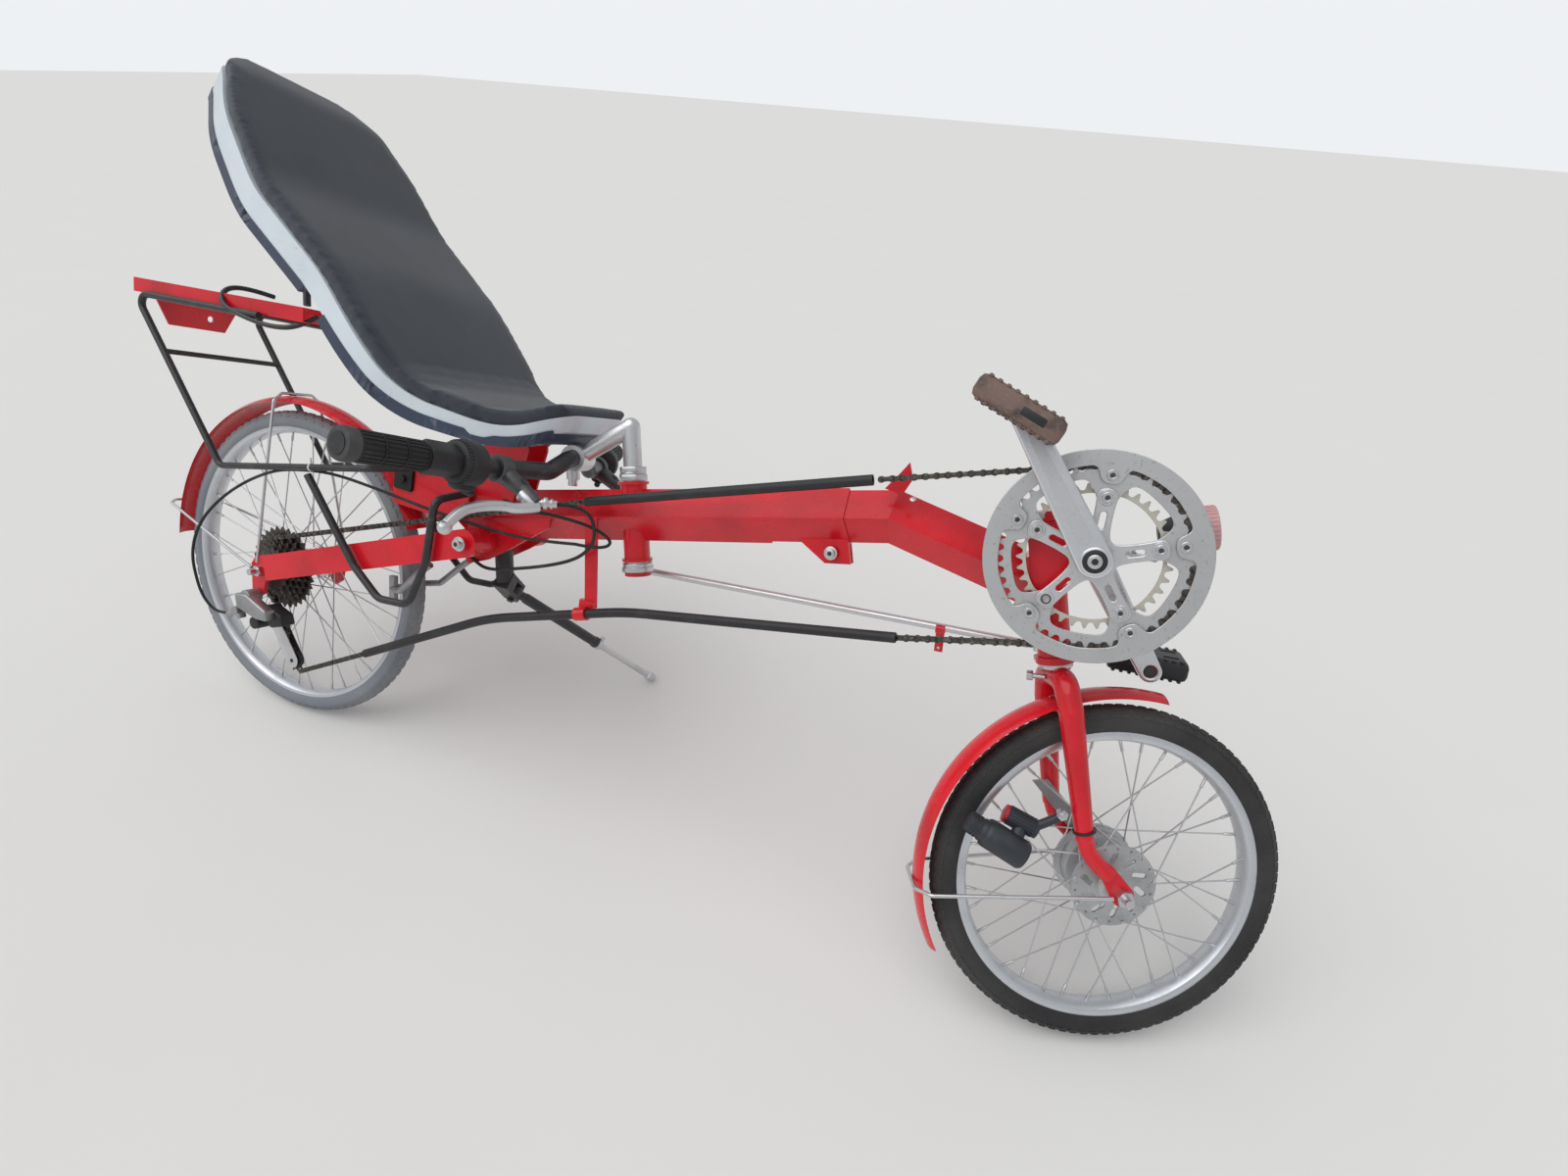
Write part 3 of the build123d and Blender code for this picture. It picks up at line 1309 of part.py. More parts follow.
def front_height(pitch):
    """Height of the turned front tyre's lowest point above the ground."""
    move = park_move(pitch) * fork_rest
    centre = moved_point(move, front_axle)
    spin = moved_point(move, front_axle + Vector(0, 1, 0)) - centre
    return centre.Z - front_ring * sqrt(1 - spin.Z ** 2) - front_section


pitch = 0.0
for _ in range(6):
    pitch += degrees(front_height(pitch) / wheelbase)
upright_to_ground = park_move(pitch)

# Side stand: hinged under the pivot bracket, its foot on the ground when it is out
stand_root = Vector(402, 30, 314)
stand_out = Vector(0.363, 0.770, -0.527).normalized()
stand_axis = Vector(-0.081, 0.589, 0.804)
stand_axis = (stand_axis - stand_out * stand_axis.dot(stand_out)).normalized()


def ground_height(point):
    return moved_point(upright_to_ground, point).Z


drop = ground_height(stand_root) - ground_height(stand_root + stand_out)
stand_reach = (ground_height(stand_root) - foot_radius) / drop
eye_radius = 12.0
eye_half = 8.0
lug_gap = 0.4
lug_thick = 5.0
stand_tip = stand_root + stand_out * stand_reach
with BuildPart() as stand_leg:
    stub(stand_root - stand_axis * eye_half, stand_root + stand_axis * eye_half, eye_radius)
    stub(stand_root + stand_out * 6, stand_root + stand_out * 20, 7)
    stub(stand_root + stand_out * 18, stand_root + stand_out * stand_reach * 0.55, stand_radius + 3)
    stub(stand_root + stand_out * stand_reach * 0.55, stand_root + stand_out * stand_reach * 0.6, stand_radius + 5)
    stub(stand_root + stand_out * stand_reach * 0.6, stand_tip - stand_out * 14, stand_radius - 2)
    stub(stand_root - stand_axis * 30, stand_root + stand_axis * 30, 5, mode=Mode.SUBTRACT)
stand_leg.part.label = "stand_leg"

with BuildPart() as stand_foot:
    with Locations(Location(stand_tip)):
        Sphere(foot_radius)
    stub(stand_tip, stand_tip - stand_out * 26, foot_radius - 0.3, stand_radius - 0.5)
    stub(stand_tip - stand_out * 14, stand_tip - stand_out * 40, stand_radius - 2, mode=Mode.SUBTRACT)
stand_foot.part.label = "stand_foot"

mount_dir = (Vector(0, 0, 1) - stand_axis * stand_axis.Z).normalized()
with BuildPart() as stand_bracket:
    lug_start = eye_half + lug_gap
    for side in (-1, 1):
        near = stand_root + stand_axis * side * lug_start
        far = stand_root + stand_axis * side * (lug_start + lug_thick)
        stub(near, far, eye_radius)
        lug_plane = Plane(origin=near, x_dir=mount_dir, z_dir=stand_axis * side)
        with BuildSketch(lug_plane):
            with Locations((22, 0)):
                Rectangle(44, 2 * eye_radius)
        extrude(amount=lug_thick)
    web_plane = Plane(origin=stand_root - stand_axis * (lug_start + lug_thick), x_dir=mount_dir, z_dir=stand_axis)
    with BuildSketch(web_plane):
        with Locations((34, 0)):
            Rectangle(20, 2 * eye_radius)
    extrude(amount=2 * (lug_start + lug_thick))
    stub(stand_root - stand_axis * 18, stand_root + stand_axis * 18, 4.8)
    foot = stand_root + mount_dir * 36
    stub(foot, (396, 0, 392), 13)
    pin(*pivot_point, 17, -60, 60, mode=Mode.SUBTRACT)
stand_bracket.part.label = "stand_bracket"

# Every body with the move that brings it from straight ahead to its stop, and its pieces
bodies = {
    "frame": (Location(), [
        main_beam, boom, chain_keeper, front_head_tube, bottom_bracket, mid_head_tube, pivot_bracket,
        rear_plates, suspension_block, swingarm, rear_axle_bolt, chain, chain_tubes, chain_strap,
        rear_derailleur, rear_mudguard, rear_stays, rear_brake, rack_rails, rack_frame, side_hoops,
        seat_pad, seat_shell, seat_edging, seat_bracket, seat_stays, head_lamp, lamp_bracket, stand_bracket,
    ]),
    "rear_wheel": (Location(), [*wheel_pieces["rear"], rear_hub, sprockets]),
    "fork": (fork_rest, [fork, front_axle_bolt, front_brake, front_mudguard, front_stay, dynamo]),
    "front_wheel": (fork_rest, [*wheel_pieces["front"], front_hub]),
    "handlebar": (bar_rest, [stem, handlebar, grips, shifters, brake_levers]),
    "steering_rod": (Location(), [steering_rod]),
    "crankset": (Location(), [cranks, chainrings, chain_guard, ring_bolts]),
    "pedal_right": (Location(), [pedal_right]),
    "pedal_left": (Location(), [pedal_left]),
    "kickstand": (Location(), [stand_leg, stand_foot]),
}
steering_arm.part.move(link_rest)

# Stand the whole bicycle on the ground with its origin under the middle of its outline
low, high = [1e9, 1e9], [-1e9, -1e9]
for rest, pieces in bodies.values():
    for piece in pieces:
        piece.part.move(upright_to_ground * rest)
        box = piece.part.bounding_box()
        low = [min(low[0], box.min.X), min(low[1], box.min.Y)]
        high = [max(high[0], box.max.X), max(high[1], box.max.Y)]
steering_arm.part.move(upright_to_ground)
bodies["handlebar"][1].append(steering_arm)
centre_move = Location((-(low[0] + high[0]) / 2, -(low[1] + high[1]) / 2, 0))
parked = centre_move * upright_to_ground

for rest, pieces in bodies.values():
    for piece in pieces:
        piece.part.move(centre_move)
        export_step(piece.part, f"parts/{piece.part.label}.step")
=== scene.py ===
"""Looks of a parked two-wheeled recumbent bicycle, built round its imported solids."""

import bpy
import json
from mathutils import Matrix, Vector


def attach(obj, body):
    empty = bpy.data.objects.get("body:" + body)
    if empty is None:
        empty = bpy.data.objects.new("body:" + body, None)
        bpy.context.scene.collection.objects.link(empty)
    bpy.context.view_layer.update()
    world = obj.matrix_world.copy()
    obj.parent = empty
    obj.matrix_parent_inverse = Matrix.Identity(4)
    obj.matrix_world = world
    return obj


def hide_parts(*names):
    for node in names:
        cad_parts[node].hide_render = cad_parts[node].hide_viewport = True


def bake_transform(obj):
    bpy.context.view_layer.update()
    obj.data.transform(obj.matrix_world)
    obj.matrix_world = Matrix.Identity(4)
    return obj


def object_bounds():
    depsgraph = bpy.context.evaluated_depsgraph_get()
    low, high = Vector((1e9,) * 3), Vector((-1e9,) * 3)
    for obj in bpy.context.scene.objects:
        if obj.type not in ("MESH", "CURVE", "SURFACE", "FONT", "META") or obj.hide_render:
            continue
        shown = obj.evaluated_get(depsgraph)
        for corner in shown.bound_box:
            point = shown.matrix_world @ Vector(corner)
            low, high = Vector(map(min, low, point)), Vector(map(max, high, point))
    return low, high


bl_info = {
    "name": "Recumbent Bicycle Looks",
    "version": (1, 0, 0),
    "blender": (4, 5, 0),
    "location": "View3D > Sidebar > Recumbent",
    "description": "Dresses the packed bicycle with its foam, rubber, paint, wires and small fittings",
    "category": "Object",
}

import json
from math import atan2, cos, hypot, pi, radians, sin

import bmesh
import bpy
from bpy.props import FloatProperty, FloatVectorProperty, IntProperty, PointerProperty
from mathutils import Matrix, Vector

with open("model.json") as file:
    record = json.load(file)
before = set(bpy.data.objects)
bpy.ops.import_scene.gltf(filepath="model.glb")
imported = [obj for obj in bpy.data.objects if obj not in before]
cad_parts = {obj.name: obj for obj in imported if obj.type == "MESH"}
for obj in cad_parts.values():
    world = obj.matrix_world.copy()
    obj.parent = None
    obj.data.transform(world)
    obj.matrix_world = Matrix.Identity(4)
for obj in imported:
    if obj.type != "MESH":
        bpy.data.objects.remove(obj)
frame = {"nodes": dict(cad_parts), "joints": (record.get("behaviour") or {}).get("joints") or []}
cad_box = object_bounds()
joints = {joint["name"]: joint for joint in frame["joints"]}
MM = 0.001

# Places of the upright bicycle in millimetres: x ahead of the rear axle, y left, z up
REAR_RADIUS, FRONT_RADIUS = 254, 211
REAR_AXLE = Vector((0, 0, REAR_RADIUS))
BRACKET = Vector((1187, 0, 585))
CRANK_LENGTH = 170
CRANK_ANGLE = 130
PITCH = 12.7

# Turns from straight ahead to the left stop at which the bicycle is parked
FORK_TURN = radians(20)
BAR_TURN = radians(10)
SIDES = ((-1, "right"), (1, "left"))


def joint_place(name):
    return Vector(joints[name]["pos_m"]), Vector(joints[name]["axis"]).normalized()


def upright_matrix():
    """Move from the upright bicycle's millimetres to the parked bicycle's metres."""
    axle, left = joint_place("rear_wheel")
    bracket, _ = joint_place("crankset")
    run = (bracket - axle).normalized()
    slope = atan2(BRACKET.z - REAR_AXLE.z, BRACKET.x - REAR_AXLE.x)
    across = run.cross(left)
    ahead = run * cos(slope) - across * sin(slope)
    up = run * sin(slope) + across * cos(slope)
    turn = Matrix((ahead, left, up)).transposed().to_4x4()
    return Matrix.Translation(axle) @ turn @ Matrix.Scale(MM, 4) @ Matrix.Translation(-REAR_AXLE)


def turned(name, angle):
    """Move that turns a piece about a joint of the parked bicycle."""
    foot, axis = joint_place(name)
    return Matrix.Translation(foot) @ Matrix.Rotation(angle, 4, axis) @ Matrix.Translation(-foot)


BIKE = upright_matrix()
FORKED = turned("fork", FORK_TURN) @ BIKE
BARRED = turned("handlebar", BAR_TURN) @ BIKE


def wheel_matrix(name):
    """Move from a wheel's own frame, its axle along z, to the parked bicycle."""
    foot, axis = joint_place(name)
    ahead = Vector((1, 0, 0)) - axis * axis.x
    ahead.normalize()
    turn = Matrix((ahead, axis.cross(ahead), axis)).transposed().to_4x4()
    return Matrix.Translation(foot) @ turn @ Matrix.Scale(MM, 4)


class Value:
    """A shader socket that takes part in plain arithmetic."""

    def __init__(self, shader, socket):
        self.shader, self.socket = shader, socket

    def joined(self, operation, other, swapped=False):
        pair = (other, self) if swapped else (self, other)
        return self.shader.node("ShaderNodeMath", {"operation": operation}, dict(enumerate(pair)))

    def __add__(self, other):
        return self.joined("ADD", other)

    def __sub__(self, other):
        return self.joined("SUBTRACT", other)

    def __rsub__(self, other):
        return self.joined("SUBTRACT", other, swapped=True)

    def __mul__(self, other):
        return self.joined("MULTIPLY", other)

    __radd__ = __add__
    __rmul__ = __mul__


class Shader:
    """One procedural material on the solid's own coordinates."""

    def __init__(self, name, **sockets):
        self.material = bpy.data.materials.new(name)
        self.material.use_nodes = True
        self.tree = self.material.node_tree
        self.surface = self.tree.nodes["Principled BSDF"]
        self.place = self.node("ShaderNodeTexCoord", output="Object")
        self.feed(**sockets)

    def node(self, kind, settings=None, inputs=None, output=0):
        """Add a node with its settings first and its sockets after, and give one output."""
        made = self.tree.nodes.new(kind)
        for key, value in (settings or {}).items():
            setattr(made, key, value)
        for key, value in (inputs or {}).items():
            self.plug(made.inputs[key], value)
        return Value(self, made.outputs[output])

    def plug(self, socket, value):
        if isinstance(value, Value):
            self.tree.links.new(value.socket, socket)
        elif isinstance(value, (tuple, list)) and len(value) == 3 and socket.type == "RGBA":
            socket.default_value = (*value, 1)
        else:
            socket.default_value = value

    def feed(self, **sockets):
        """Set the surface's sockets, named with underscores for spaces."""
        for key, value in sockets.items():
            self.plug(self.surface.inputs[key.replace("_", " ")], value)

    def stretched(self, stretch, angles=(0, 0, 0)):
        """The solid's coordinates turned and then scaled by an amount for each axis."""
        mapping = {"Vector": self.place, "Scale": stretch, "Rotation": angles}
        return self.node("ShaderNodeMapping", {}, mapping)

    def noise(self, scale, detail, roughness=0.55, where=None):
        sockets = {"Vector": where or self.place, "Scale": scale, "Detail": detail, "Roughness": roughness}
        return self.node("ShaderNodeTexNoise", {}, sockets)

    def cells(self, scale):
        """Distance to the nearest of scattered points."""
        return self.node("ShaderNodeTexVoronoi", {"feature": "F1"}, {"Vector": self.place, "Scale": scale})

    def step(self, value, low, high):
        """0 below low, 1 above high and smooth between."""
        sockets = {"Value": value, "From Min": low, "From Max": high}
        return self.node("ShaderNodeMapRange", {"interpolation_type": "SMOOTHSTEP"}, sockets)

    def patches(self, scale, detail, low, high, roughness=0.55, where=None):
        """Noise cut into patches: 0 where it is below low and 1 where it is above high."""
        return self.step(self.noise(scale, detail, roughness, where), low, high)

    def mixed(self, first, second, share):
        """Colour between two colours."""
        share_socket, first_socket, second_socket, colour_output = 0, 6, 7, 2
        sockets = {share_socket: share, first_socket: first, second_socket: second}
        return self.node("ShaderNodeMix", {"data_type": "RGBA"}, sockets, colour_output)

    def attribute(self, name):
        return self.node("ShaderNodeAttribute", {"attribute_name": name}, output="Fac")

    def bump(self, height, strength, distance):
        sockets = {"Strength": strength, "Distance": distance, "Height": height}
        self.feed(Normal=self.node("ShaderNodeBump", {}, sockets))


def toned(colour, share):
    """A colour made darker, or lighter up to white."""
    return tuple(min(channel * share, 1) for channel in colour)


def gloss_paint(name, colour):
    """Bright enamel with dust that settles on it and small chips."""
    shader = Shader(name, Coat_Weight=0.25, Coat_Roughness=0.12, Specular_IOR_Level=0.35)
    cloud = shader.patches(9, 4, 0.35, 0.7)
    dust = shader.patches(34, 5, 0.5, 0.85)
    chips = shader.patches(210, 2, 0.72, 0.76, 0.4)
    dusty = shader.mixed(shader.mixed(colour, toned(colour, 0.72), cloud), (0.42, 0.22, 0.20), dust * 0.04)
    shader.feed(Base_Color=shader.mixed(dusty, (0.10, 0.05, 0.05), chips * 0.8), Roughness=0.26 + dust * 0.22)
    shader.bump(shader.noise(380, 1) * 0.2 - chips, 0.12, 0.0004)
    return shader.material


def satin_black(name, colour):
    """Black stove paint with grey scuffs along it."""
    shader = Shader(name)
    scuffs = shader.patches(26, 6, 0.58, 0.8, 0.7, shader.stretched((1, 1, 3)))
    dust = shader.patches(60, 4, 0.45, 0.8)
    base = shader.mixed(colour, (0.16, 0.16, 0.165), scuffs * 0.5)
    shader.feed(Base_Color=shader.mixed(base, (0.2, 0.19, 0.17), dust * 0.12), Roughness=0.36 + scuffs * 0.3)
    shader.bump(shader.noise(300, 2), 0.12, 0.0004)
    return shader.material


def worn_alloy(name, colour, roughness=0.3, grime=0.25):
    """Machined or polished alloy with fine lines, finger grime and dull patches."""
    shader = Shader(name, Metallic=1.0)
    lines = shader.noise(40, 3, 0.6, shader.stretched((1, 30, 1)))
    dull = shader.patches(22, 5, 0.42, 0.78)
    pits = shader.patches(240, 3, 0.6, 0.75, 0.5)
    base = shader.mixed(colour, toned(colour, 0.55), dull * grime)
    shader.feed(Base_Color=shader.mixed(base, (0.13, 0.11, 0.09), pits * grime),
                Roughness=roughness + lines * 0.14 + dull * 0.16)
    shader.bump(lines * 0.5 + pits * 0.4, 0.1, 0.0003)
    return shader.material


def greasy_steel(name, colour):
    """Chain steel dark with old grease, bright where it rubs."""
    shader = Shader(name, Metallic=0.85)
    rubbed = shader.patches(160, 4, 0.5, 0.7)
    grit = shader.patches(420, 3, 0.5, 0.7, 0.6)
    base = shader.mixed(colour, (0.36, 0.33, 0.30), rubbed * 0.5)
    shader.feed(Base_Color=shader.mixed(base, (0.05, 0.04, 0.03), grit * 0.5), Roughness=0.42 + grit * 0.3)
    shader.bump(grit, 0.3, 0.0005)
    return shader.material


def dusty_rubber(name, colour, dust_colour=(0.17, 0.165, 0.155), dust=0.35):
    """Tyre rubber greyed by road dust."""
    shader = Shader(name, Specular_IOR_Level=0.35)
    grey = shader.patches(5, 6, 0.3, 0.8, 0.6)
    grain = shader.noise(520, 3, 0.6)
    base = shader.mixed(colour, dust_colour, grey * dust)
    shader.feed(Base_Color=shader.mixed(base, dust_colour, shader.step(grain, 0.62, 0.75) * 0.3),
                Roughness=0.62 + grey * 0.2)
    shader.bump(grain, 0.25, 0.0006)
    return shader.material


def moulded_plastic(name, colour, roughness=0.5, wear=0.2):
    """Moulded plastic with a fine grain and rubbed places."""
    shader = Shader(name, Specular_IOR_Level=0.45)
    rubbed = shader.patches(30, 5, 0.5, 0.8)
    grain = shader.noise(640, 2, 0.5)
    pale = tuple(channel * 0.6 + 0.12 for channel in colour)
    shader.feed(Base_Color=shader.mixed(colour, pale, rubbed * wear), Roughness=roughness + rubbed * 0.15)
    shader.bump(grain, 0.2, 0.0004)
    return shader.material


def worn_resin(name, colour, worn):
    """Resin rubbed brown and pale by shoes, still dark in its hollows."""
    shader = Shader(name, Specular_IOR_Level=0.4)
    rubbed = shader.patches(24, 6, 0.38, 0.62, 0.6)
    speckle = shader.patches(300, 4, 0.5, 0.68, 0.7)
    base = shader.mixed(colour, worn, rubbed)
    shader.feed(Base_Color=shader.mixed(base, (0.30, 0.23, 0.20), speckle * 0.35),
                Roughness=0.5 + rubbed * 0.25)
    shader.bump(speckle + rubbed * 0.4, 0.3, 0.0006)
    return shader.material


def closed_foam(name, colour, edge_colour):
    """Soft closed-cell foam: matt skin, faint mottling and a paler cut edge."""
    shader = Shader(name, Sheen_Weight=0.25, Sheen_Roughness=0.6, Specular_IOR_Level=0.25)
    mottle = shader.patches(7, 5, 0.3, 0.75, 0.6)
    pores = shader.cells(900)
    fine = shader.noise(260, 4, 0.6)
    creases = shader.patches(16, 3, 0.55, 0.8, 0.5, shader.stretched((1, 3, 1)))
    face = shader.mixed(colour, toned(colour, 0.74), mottle * 0.75)
    face = shader.mixed(face, toned(colour, 1.35), creases * 0.25)
    cut = shader.mixed(edge_colour, toned(edge_colour, 0.8), fine)
    shader.feed(Base_Color=shader.mixed(face, cut, shader.attribute("cut_edge")),
                Roughness=0.78 + mottle * 0.12)
    shader.bump(pores * 0.5 + fine * 0.6, 0.28, 0.0007)
    return shader.material


def white_gelcoat(name, colour):
    """Cast resin shell with scratches, scuffs and grime that gathers in pits."""
    shader = Shader(name, Coat_Weight=0.35, Coat_Roughness=0.2)
    cloud = shader.patches(8, 5, 0.35, 0.75, 0.6)
    scratches = shader.patches(30, 7, 0.62, 0.72, 0.75, shader.stretched((1, 14, 5), (0.3, 0.5, 0.2)))
    marks = shader.patches(70, 5, 0.66, 0.78, 0.7)
    base = shader.mixed(colour, toned(colour, 0.82), cloud * 0.8)
    base = shader.mixed(base, (0.30, 0.31, 0.34), scratches * 0.55)
    shader.feed(Base_Color=shader.mixed(base, (0.16, 0.15, 0.14), marks * 0.6),
                Roughness=0.3 + cloud * 0.2 + scratches * 0.2)
    shader.bump(scratches + marks, 0.15, 0.0004)
    return shader.material


def slate_edging(name, colour):
    """Rubbery edging strip, faded and scuffed."""
    shader = Shader(name, Sheen_Weight=0.15, Specular_IOR_Level=0.4)
    fade = shader.patches(6, 4, 0.3, 0.75)
    scuffs = shader.patches(46, 6, 0.6, 0.75, 0.7)
    base = shader.mixed(colour, toned(colour, 1.5), fade * 0.6)
    shader.feed(Base_Color=shader.mixed(base, (0.36, 0.38, 0.42), scuffs * 0.35),
                Roughness=0.42 + scuffs * 0.25)
    shader.bump(shader.noise(330, 3), 0.2, 0.0005)
    return shader.material


def clear_lens(name):
    """Clear plastic, a little hazy."""
    shader = Shader(name, Transmission_Weight=0.9, IOR=1.49)
    shader.feed(Base_Color=(0.92, 0.95, 0.97), Roughness=0.08 + shader.noise(180, 2) * 0.08)
    return shader.material


def colour_setting(name, description, default):
    return FloatVectorProperty(name=name, description=description, subtype="COLOR", size=3, default=default)


def length_setting(name, description, default):
    return FloatProperty(name=name, description=description, unit="LENGTH", precision=4, default=default)


class BicycleFinishes(bpy.types.PropertyGroup):
    """Colours of the bicycle's materials."""

    paint: colour_setting("Frame paint", "Enamel of the frame and fork", (0.74, 0.010, 0.022))
    foam: colour_setting("Seat foam", "Face of the foam pad", (0.026, 0.033, 0.046))
    foam_edge: colour_setting("Foam edge", "Cut edge of the foam pad", (0.042, 0.050, 0.066))
    shell: colour_setting("Seat shell", "Gelcoat of the seat's rim", (0.72, 0.79, 0.84))
    edging: colour_setting("Edging", "Rubber strip along the seat's underside", (0.034, 0.046, 0.078))


class BicycleSizes(bpy.types.PropertyGroup):
    """Sizes of the bicycle's fine pieces."""

    pad_voxel: length_setting("Foam mesh", "Edge length of the foam pad's cells", 0.005)
    pad_swell: length_setting("Foam swell", "Most that a point of the foam may rise", 0.003)
    spoke: length_setting("Spoke", "Radius of a spoke", 0.001)
    grip_ribs: IntProperty(name="Grip ribs", description="Ribs along one grip", default=22)


class BicycleStage(bpy.types.PropertyGroup):
    """The camera, lamps and floor round the bicycle."""

    lens: FloatProperty(name="Lens", description="Focal length of the camera", default=17.12)
    floor_tint: colour_setting("Floor", "Colour of the floor", (0.78, 0.77, 0.75))
    sun: FloatProperty(name="Sun", description="Strength of the wide soft lamp overhead", default=1.5)
    sky: FloatProperty(name="Sky", description="Strength of the even light all round", default=0.55)


finishes = {}


def make_finishes(tints):
    """Every material of the bicycle by the name of its finish."""
    finishes.update(
        red=gloss_paint("red_enamel", tuple(tints.paint)),
        black=satin_black("black_stove_paint", (0.022, 0.022, 0.025)),
        alloy=worn_alloy("silver_alloy", (0.66, 0.66, 0.67)),
        rim=worn_alloy("rim_alloy", (0.66, 0.68, 0.71), 0.3, 0.2),
        ring=worn_alloy("ring_alloy", (0.60, 0.60, 0.60), 0.32, 0.4),
        steel=worn_alloy("bright_steel", (0.62, 0.62, 0.63), 0.22, 0.2),
        grease=greasy_steel("greasy_steel", (0.10, 0.09, 0.08)),
        tyre=dusty_rubber("front_tyre_rubber", (0.016, 0.016, 0.018)),
        tread=dusty_rubber("front_tread_rubber", (0.020, 0.020, 0.022), dust=0.45),
        grey_wall=dusty_rubber("rear_tyre_rubber", (0.20, 0.22, 0.25), (0.34, 0.34, 0.34), 0.5),
        grey_tread=dusty_rubber("rear_tread_rubber", (0.17, 0.185, 0.21), (0.36, 0.35, 0.34), 0.55),
        foam=closed_foam("seat_foam", tuple(tints.foam), tuple(tints.foam_edge)),
        shell=white_gelcoat("seat_gelcoat", tuple(tints.shell)),
        edging=slate_edging("seat_edging_rubber", tuple(tints.edging)),
        plastic=moulded_plastic("black_plastic", (0.018, 0.018, 0.020)),
        grey_plastic=moulded_plastic("grey_plastic", (0.028, 0.032, 0.040), 0.42),
        rubber=moulded_plastic("black_rubber", (0.014, 0.014, 0.015), 0.62, 0.3),
        red_plastic=moulded_plastic("red_plastic", (0.42, 0.02, 0.03), 0.35, 0.1),
        resin=worn_resin("pedal_resin", (0.030, 0.028, 0.028), (0.20, 0.13, 0.11)),
        lens=clear_lens("lamp_lens"),
        hub=worn_alloy("hub_alloy", (0.52, 0.53, 0.54), 0.4, 0.5),
        polished=worn_alloy("polished_alloy", (0.74, 0.75, 0.77), 0.2, 0.15),
        cream_ring=worn_alloy("small_ring_alloy", (0.66, 0.64, 0.56), 0.42, 0.3),
        # Near-black steel, painted shade for bolt sockets, the empty bolt hole and the pedal spindles
        shadow_steel=worn_alloy("painted_shade_steel", (0.10, 0.10, 0.10), 0.45, 0.4),
        scuffed=moulded_plastic("scuffed_rubber", (0.06, 0.06, 0.062), 0.7, 0.9),
        dark_alloy=worn_alloy("dark_alloy", (0.13, 0.13, 0.135), 0.42, 0.4),
        cast_grey=worn_alloy("cast_grey", (0.42, 0.42, 0.43), 0.4, 0.5),
        blush=moulded_plastic("lamp_rim_plastic", (0.60, 0.33, 0.33), 0.35, 0.2),
        pale=moulded_plastic("pale_nylon", (0.70, 0.70, 0.66), 0.45, 0.1),
    )


NODE_FINISHES = {
    "red": "main_beam boom bottom_bracket mid_head_tube front_head_tube pivot_bracket rear_plates swingarm "
           "rear_mudguard seat_bracket fork rack_rails front_mudguard chain_strap chain_keeper",
    "black": "rack_frame side_hoops seat_stays handlebar stand_bracket",
    "alloy": "cranks stem stand_leg stand_foot rear_hub front_hub steering_rod brake_levers",
    "rim": "rear_rim front_rim",
    "ring": "chainrings chain_guard",
    "steel": "rear_axle front_axle ring_bolts rear_stays front_stay lamp_bracket steering_arm rear_spokes "
             "front_spokes",
    "grease": "chain sprockets rear_derailleur",
    "grey_wall": "rear_tyre",
    "tyre": "front_tyre",
    "foam": "seat_pad",
    "shell": "seat_shell",
    "edging": "seat_edging",
    "plastic": "chain_tubes shifters",
    "cast_grey": "front_brake rear_brake",
    "grey_plastic": "dynamo head_lamp",
    "rubber": "grips suspension_block",
    "resin": "pedal_right pedal_left",
}


# Order of every smooth curve, and the angle over which an edge stays sharp
CURVE_ORDER = 3
SHARP = radians(40)


def alone(piece):
    """Select one object and make it the active one."""
    bpy.ops.object.select_all(action="DESELECT")
    piece.select_set(True)
    bpy.context.view_layer.objects.active = piece


def kept(piece, name, body, finish, matrix=None, sharp=SHARP):
    """Settle a finished piece: its place into its mesh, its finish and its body."""
    alone(piece)
    bpy.ops.object.convert(target="MESH")
    bpy.ops.object.transform_apply(location=True, rotation=True, scale=True)
    if matrix is not None:
        piece.data.transform(matrix)
    bpy.ops.object.shade_smooth_by_angle(angle=sharp)
    piece.name = name
    piece.data.name = name
    piece.data.materials.clear()
    for one in ([finish] if isinstance(finish, str) else finish):
        piece.data.materials.append(finishes[one])
    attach(piece, body)
    return piece


def joined(pieces):
    """Several objects as one mesh, each with its modifiers applied."""
    bpy.ops.object.select_all(action="DESELECT")
    for piece in pieces:
        piece.select_set(True)
    bpy.context.view_layer.objects.active = pieces[0]
    bpy.ops.object.convert(target="MESH")
    if len(pieces) > 1:
        bpy.ops.object.join()
    bpy.ops.object.transform_apply(location=True, rotation=True, scale=True)
    return bpy.context.view_layer.objects.active


def modified(piece, kind, **settings):
    """Add one modifier with its settings and apply it."""
    alone(piece)
    bpy.ops.object.modifier_add(type=kind)
    modifier = piece.modifiers[-1]
    for key, value in settings.items():
        setattr(modifier, key, value)
    bpy.ops.object.modifier_apply(modifier=modifier.name)
    return piece


def rounded(piece, width, segments=2):
    """Bevel the sharp edges of a mesh."""
    return modified(piece, "BEVEL", width=width, segments=segments, limit_method="ANGLE",
                    angle_limit=radians(35))


def round_about(piece, count):
    """Copies of a mesh spaced evenly round the z axis, joined to it."""
    bpy.ops.object.empty_add(location=(0, 0, 0))
    hook = bpy.context.object
    hook.matrix_world = Matrix.Rotation(2 * pi / count, 4, "Z")
    bpy.context.view_layer.update()
    modified(piece, "ARRAY", count=count, use_relative_offset=False, use_object_offset=True,
             offset_object=hook)
    bpy.data.objects.remove(hook)
    return piece


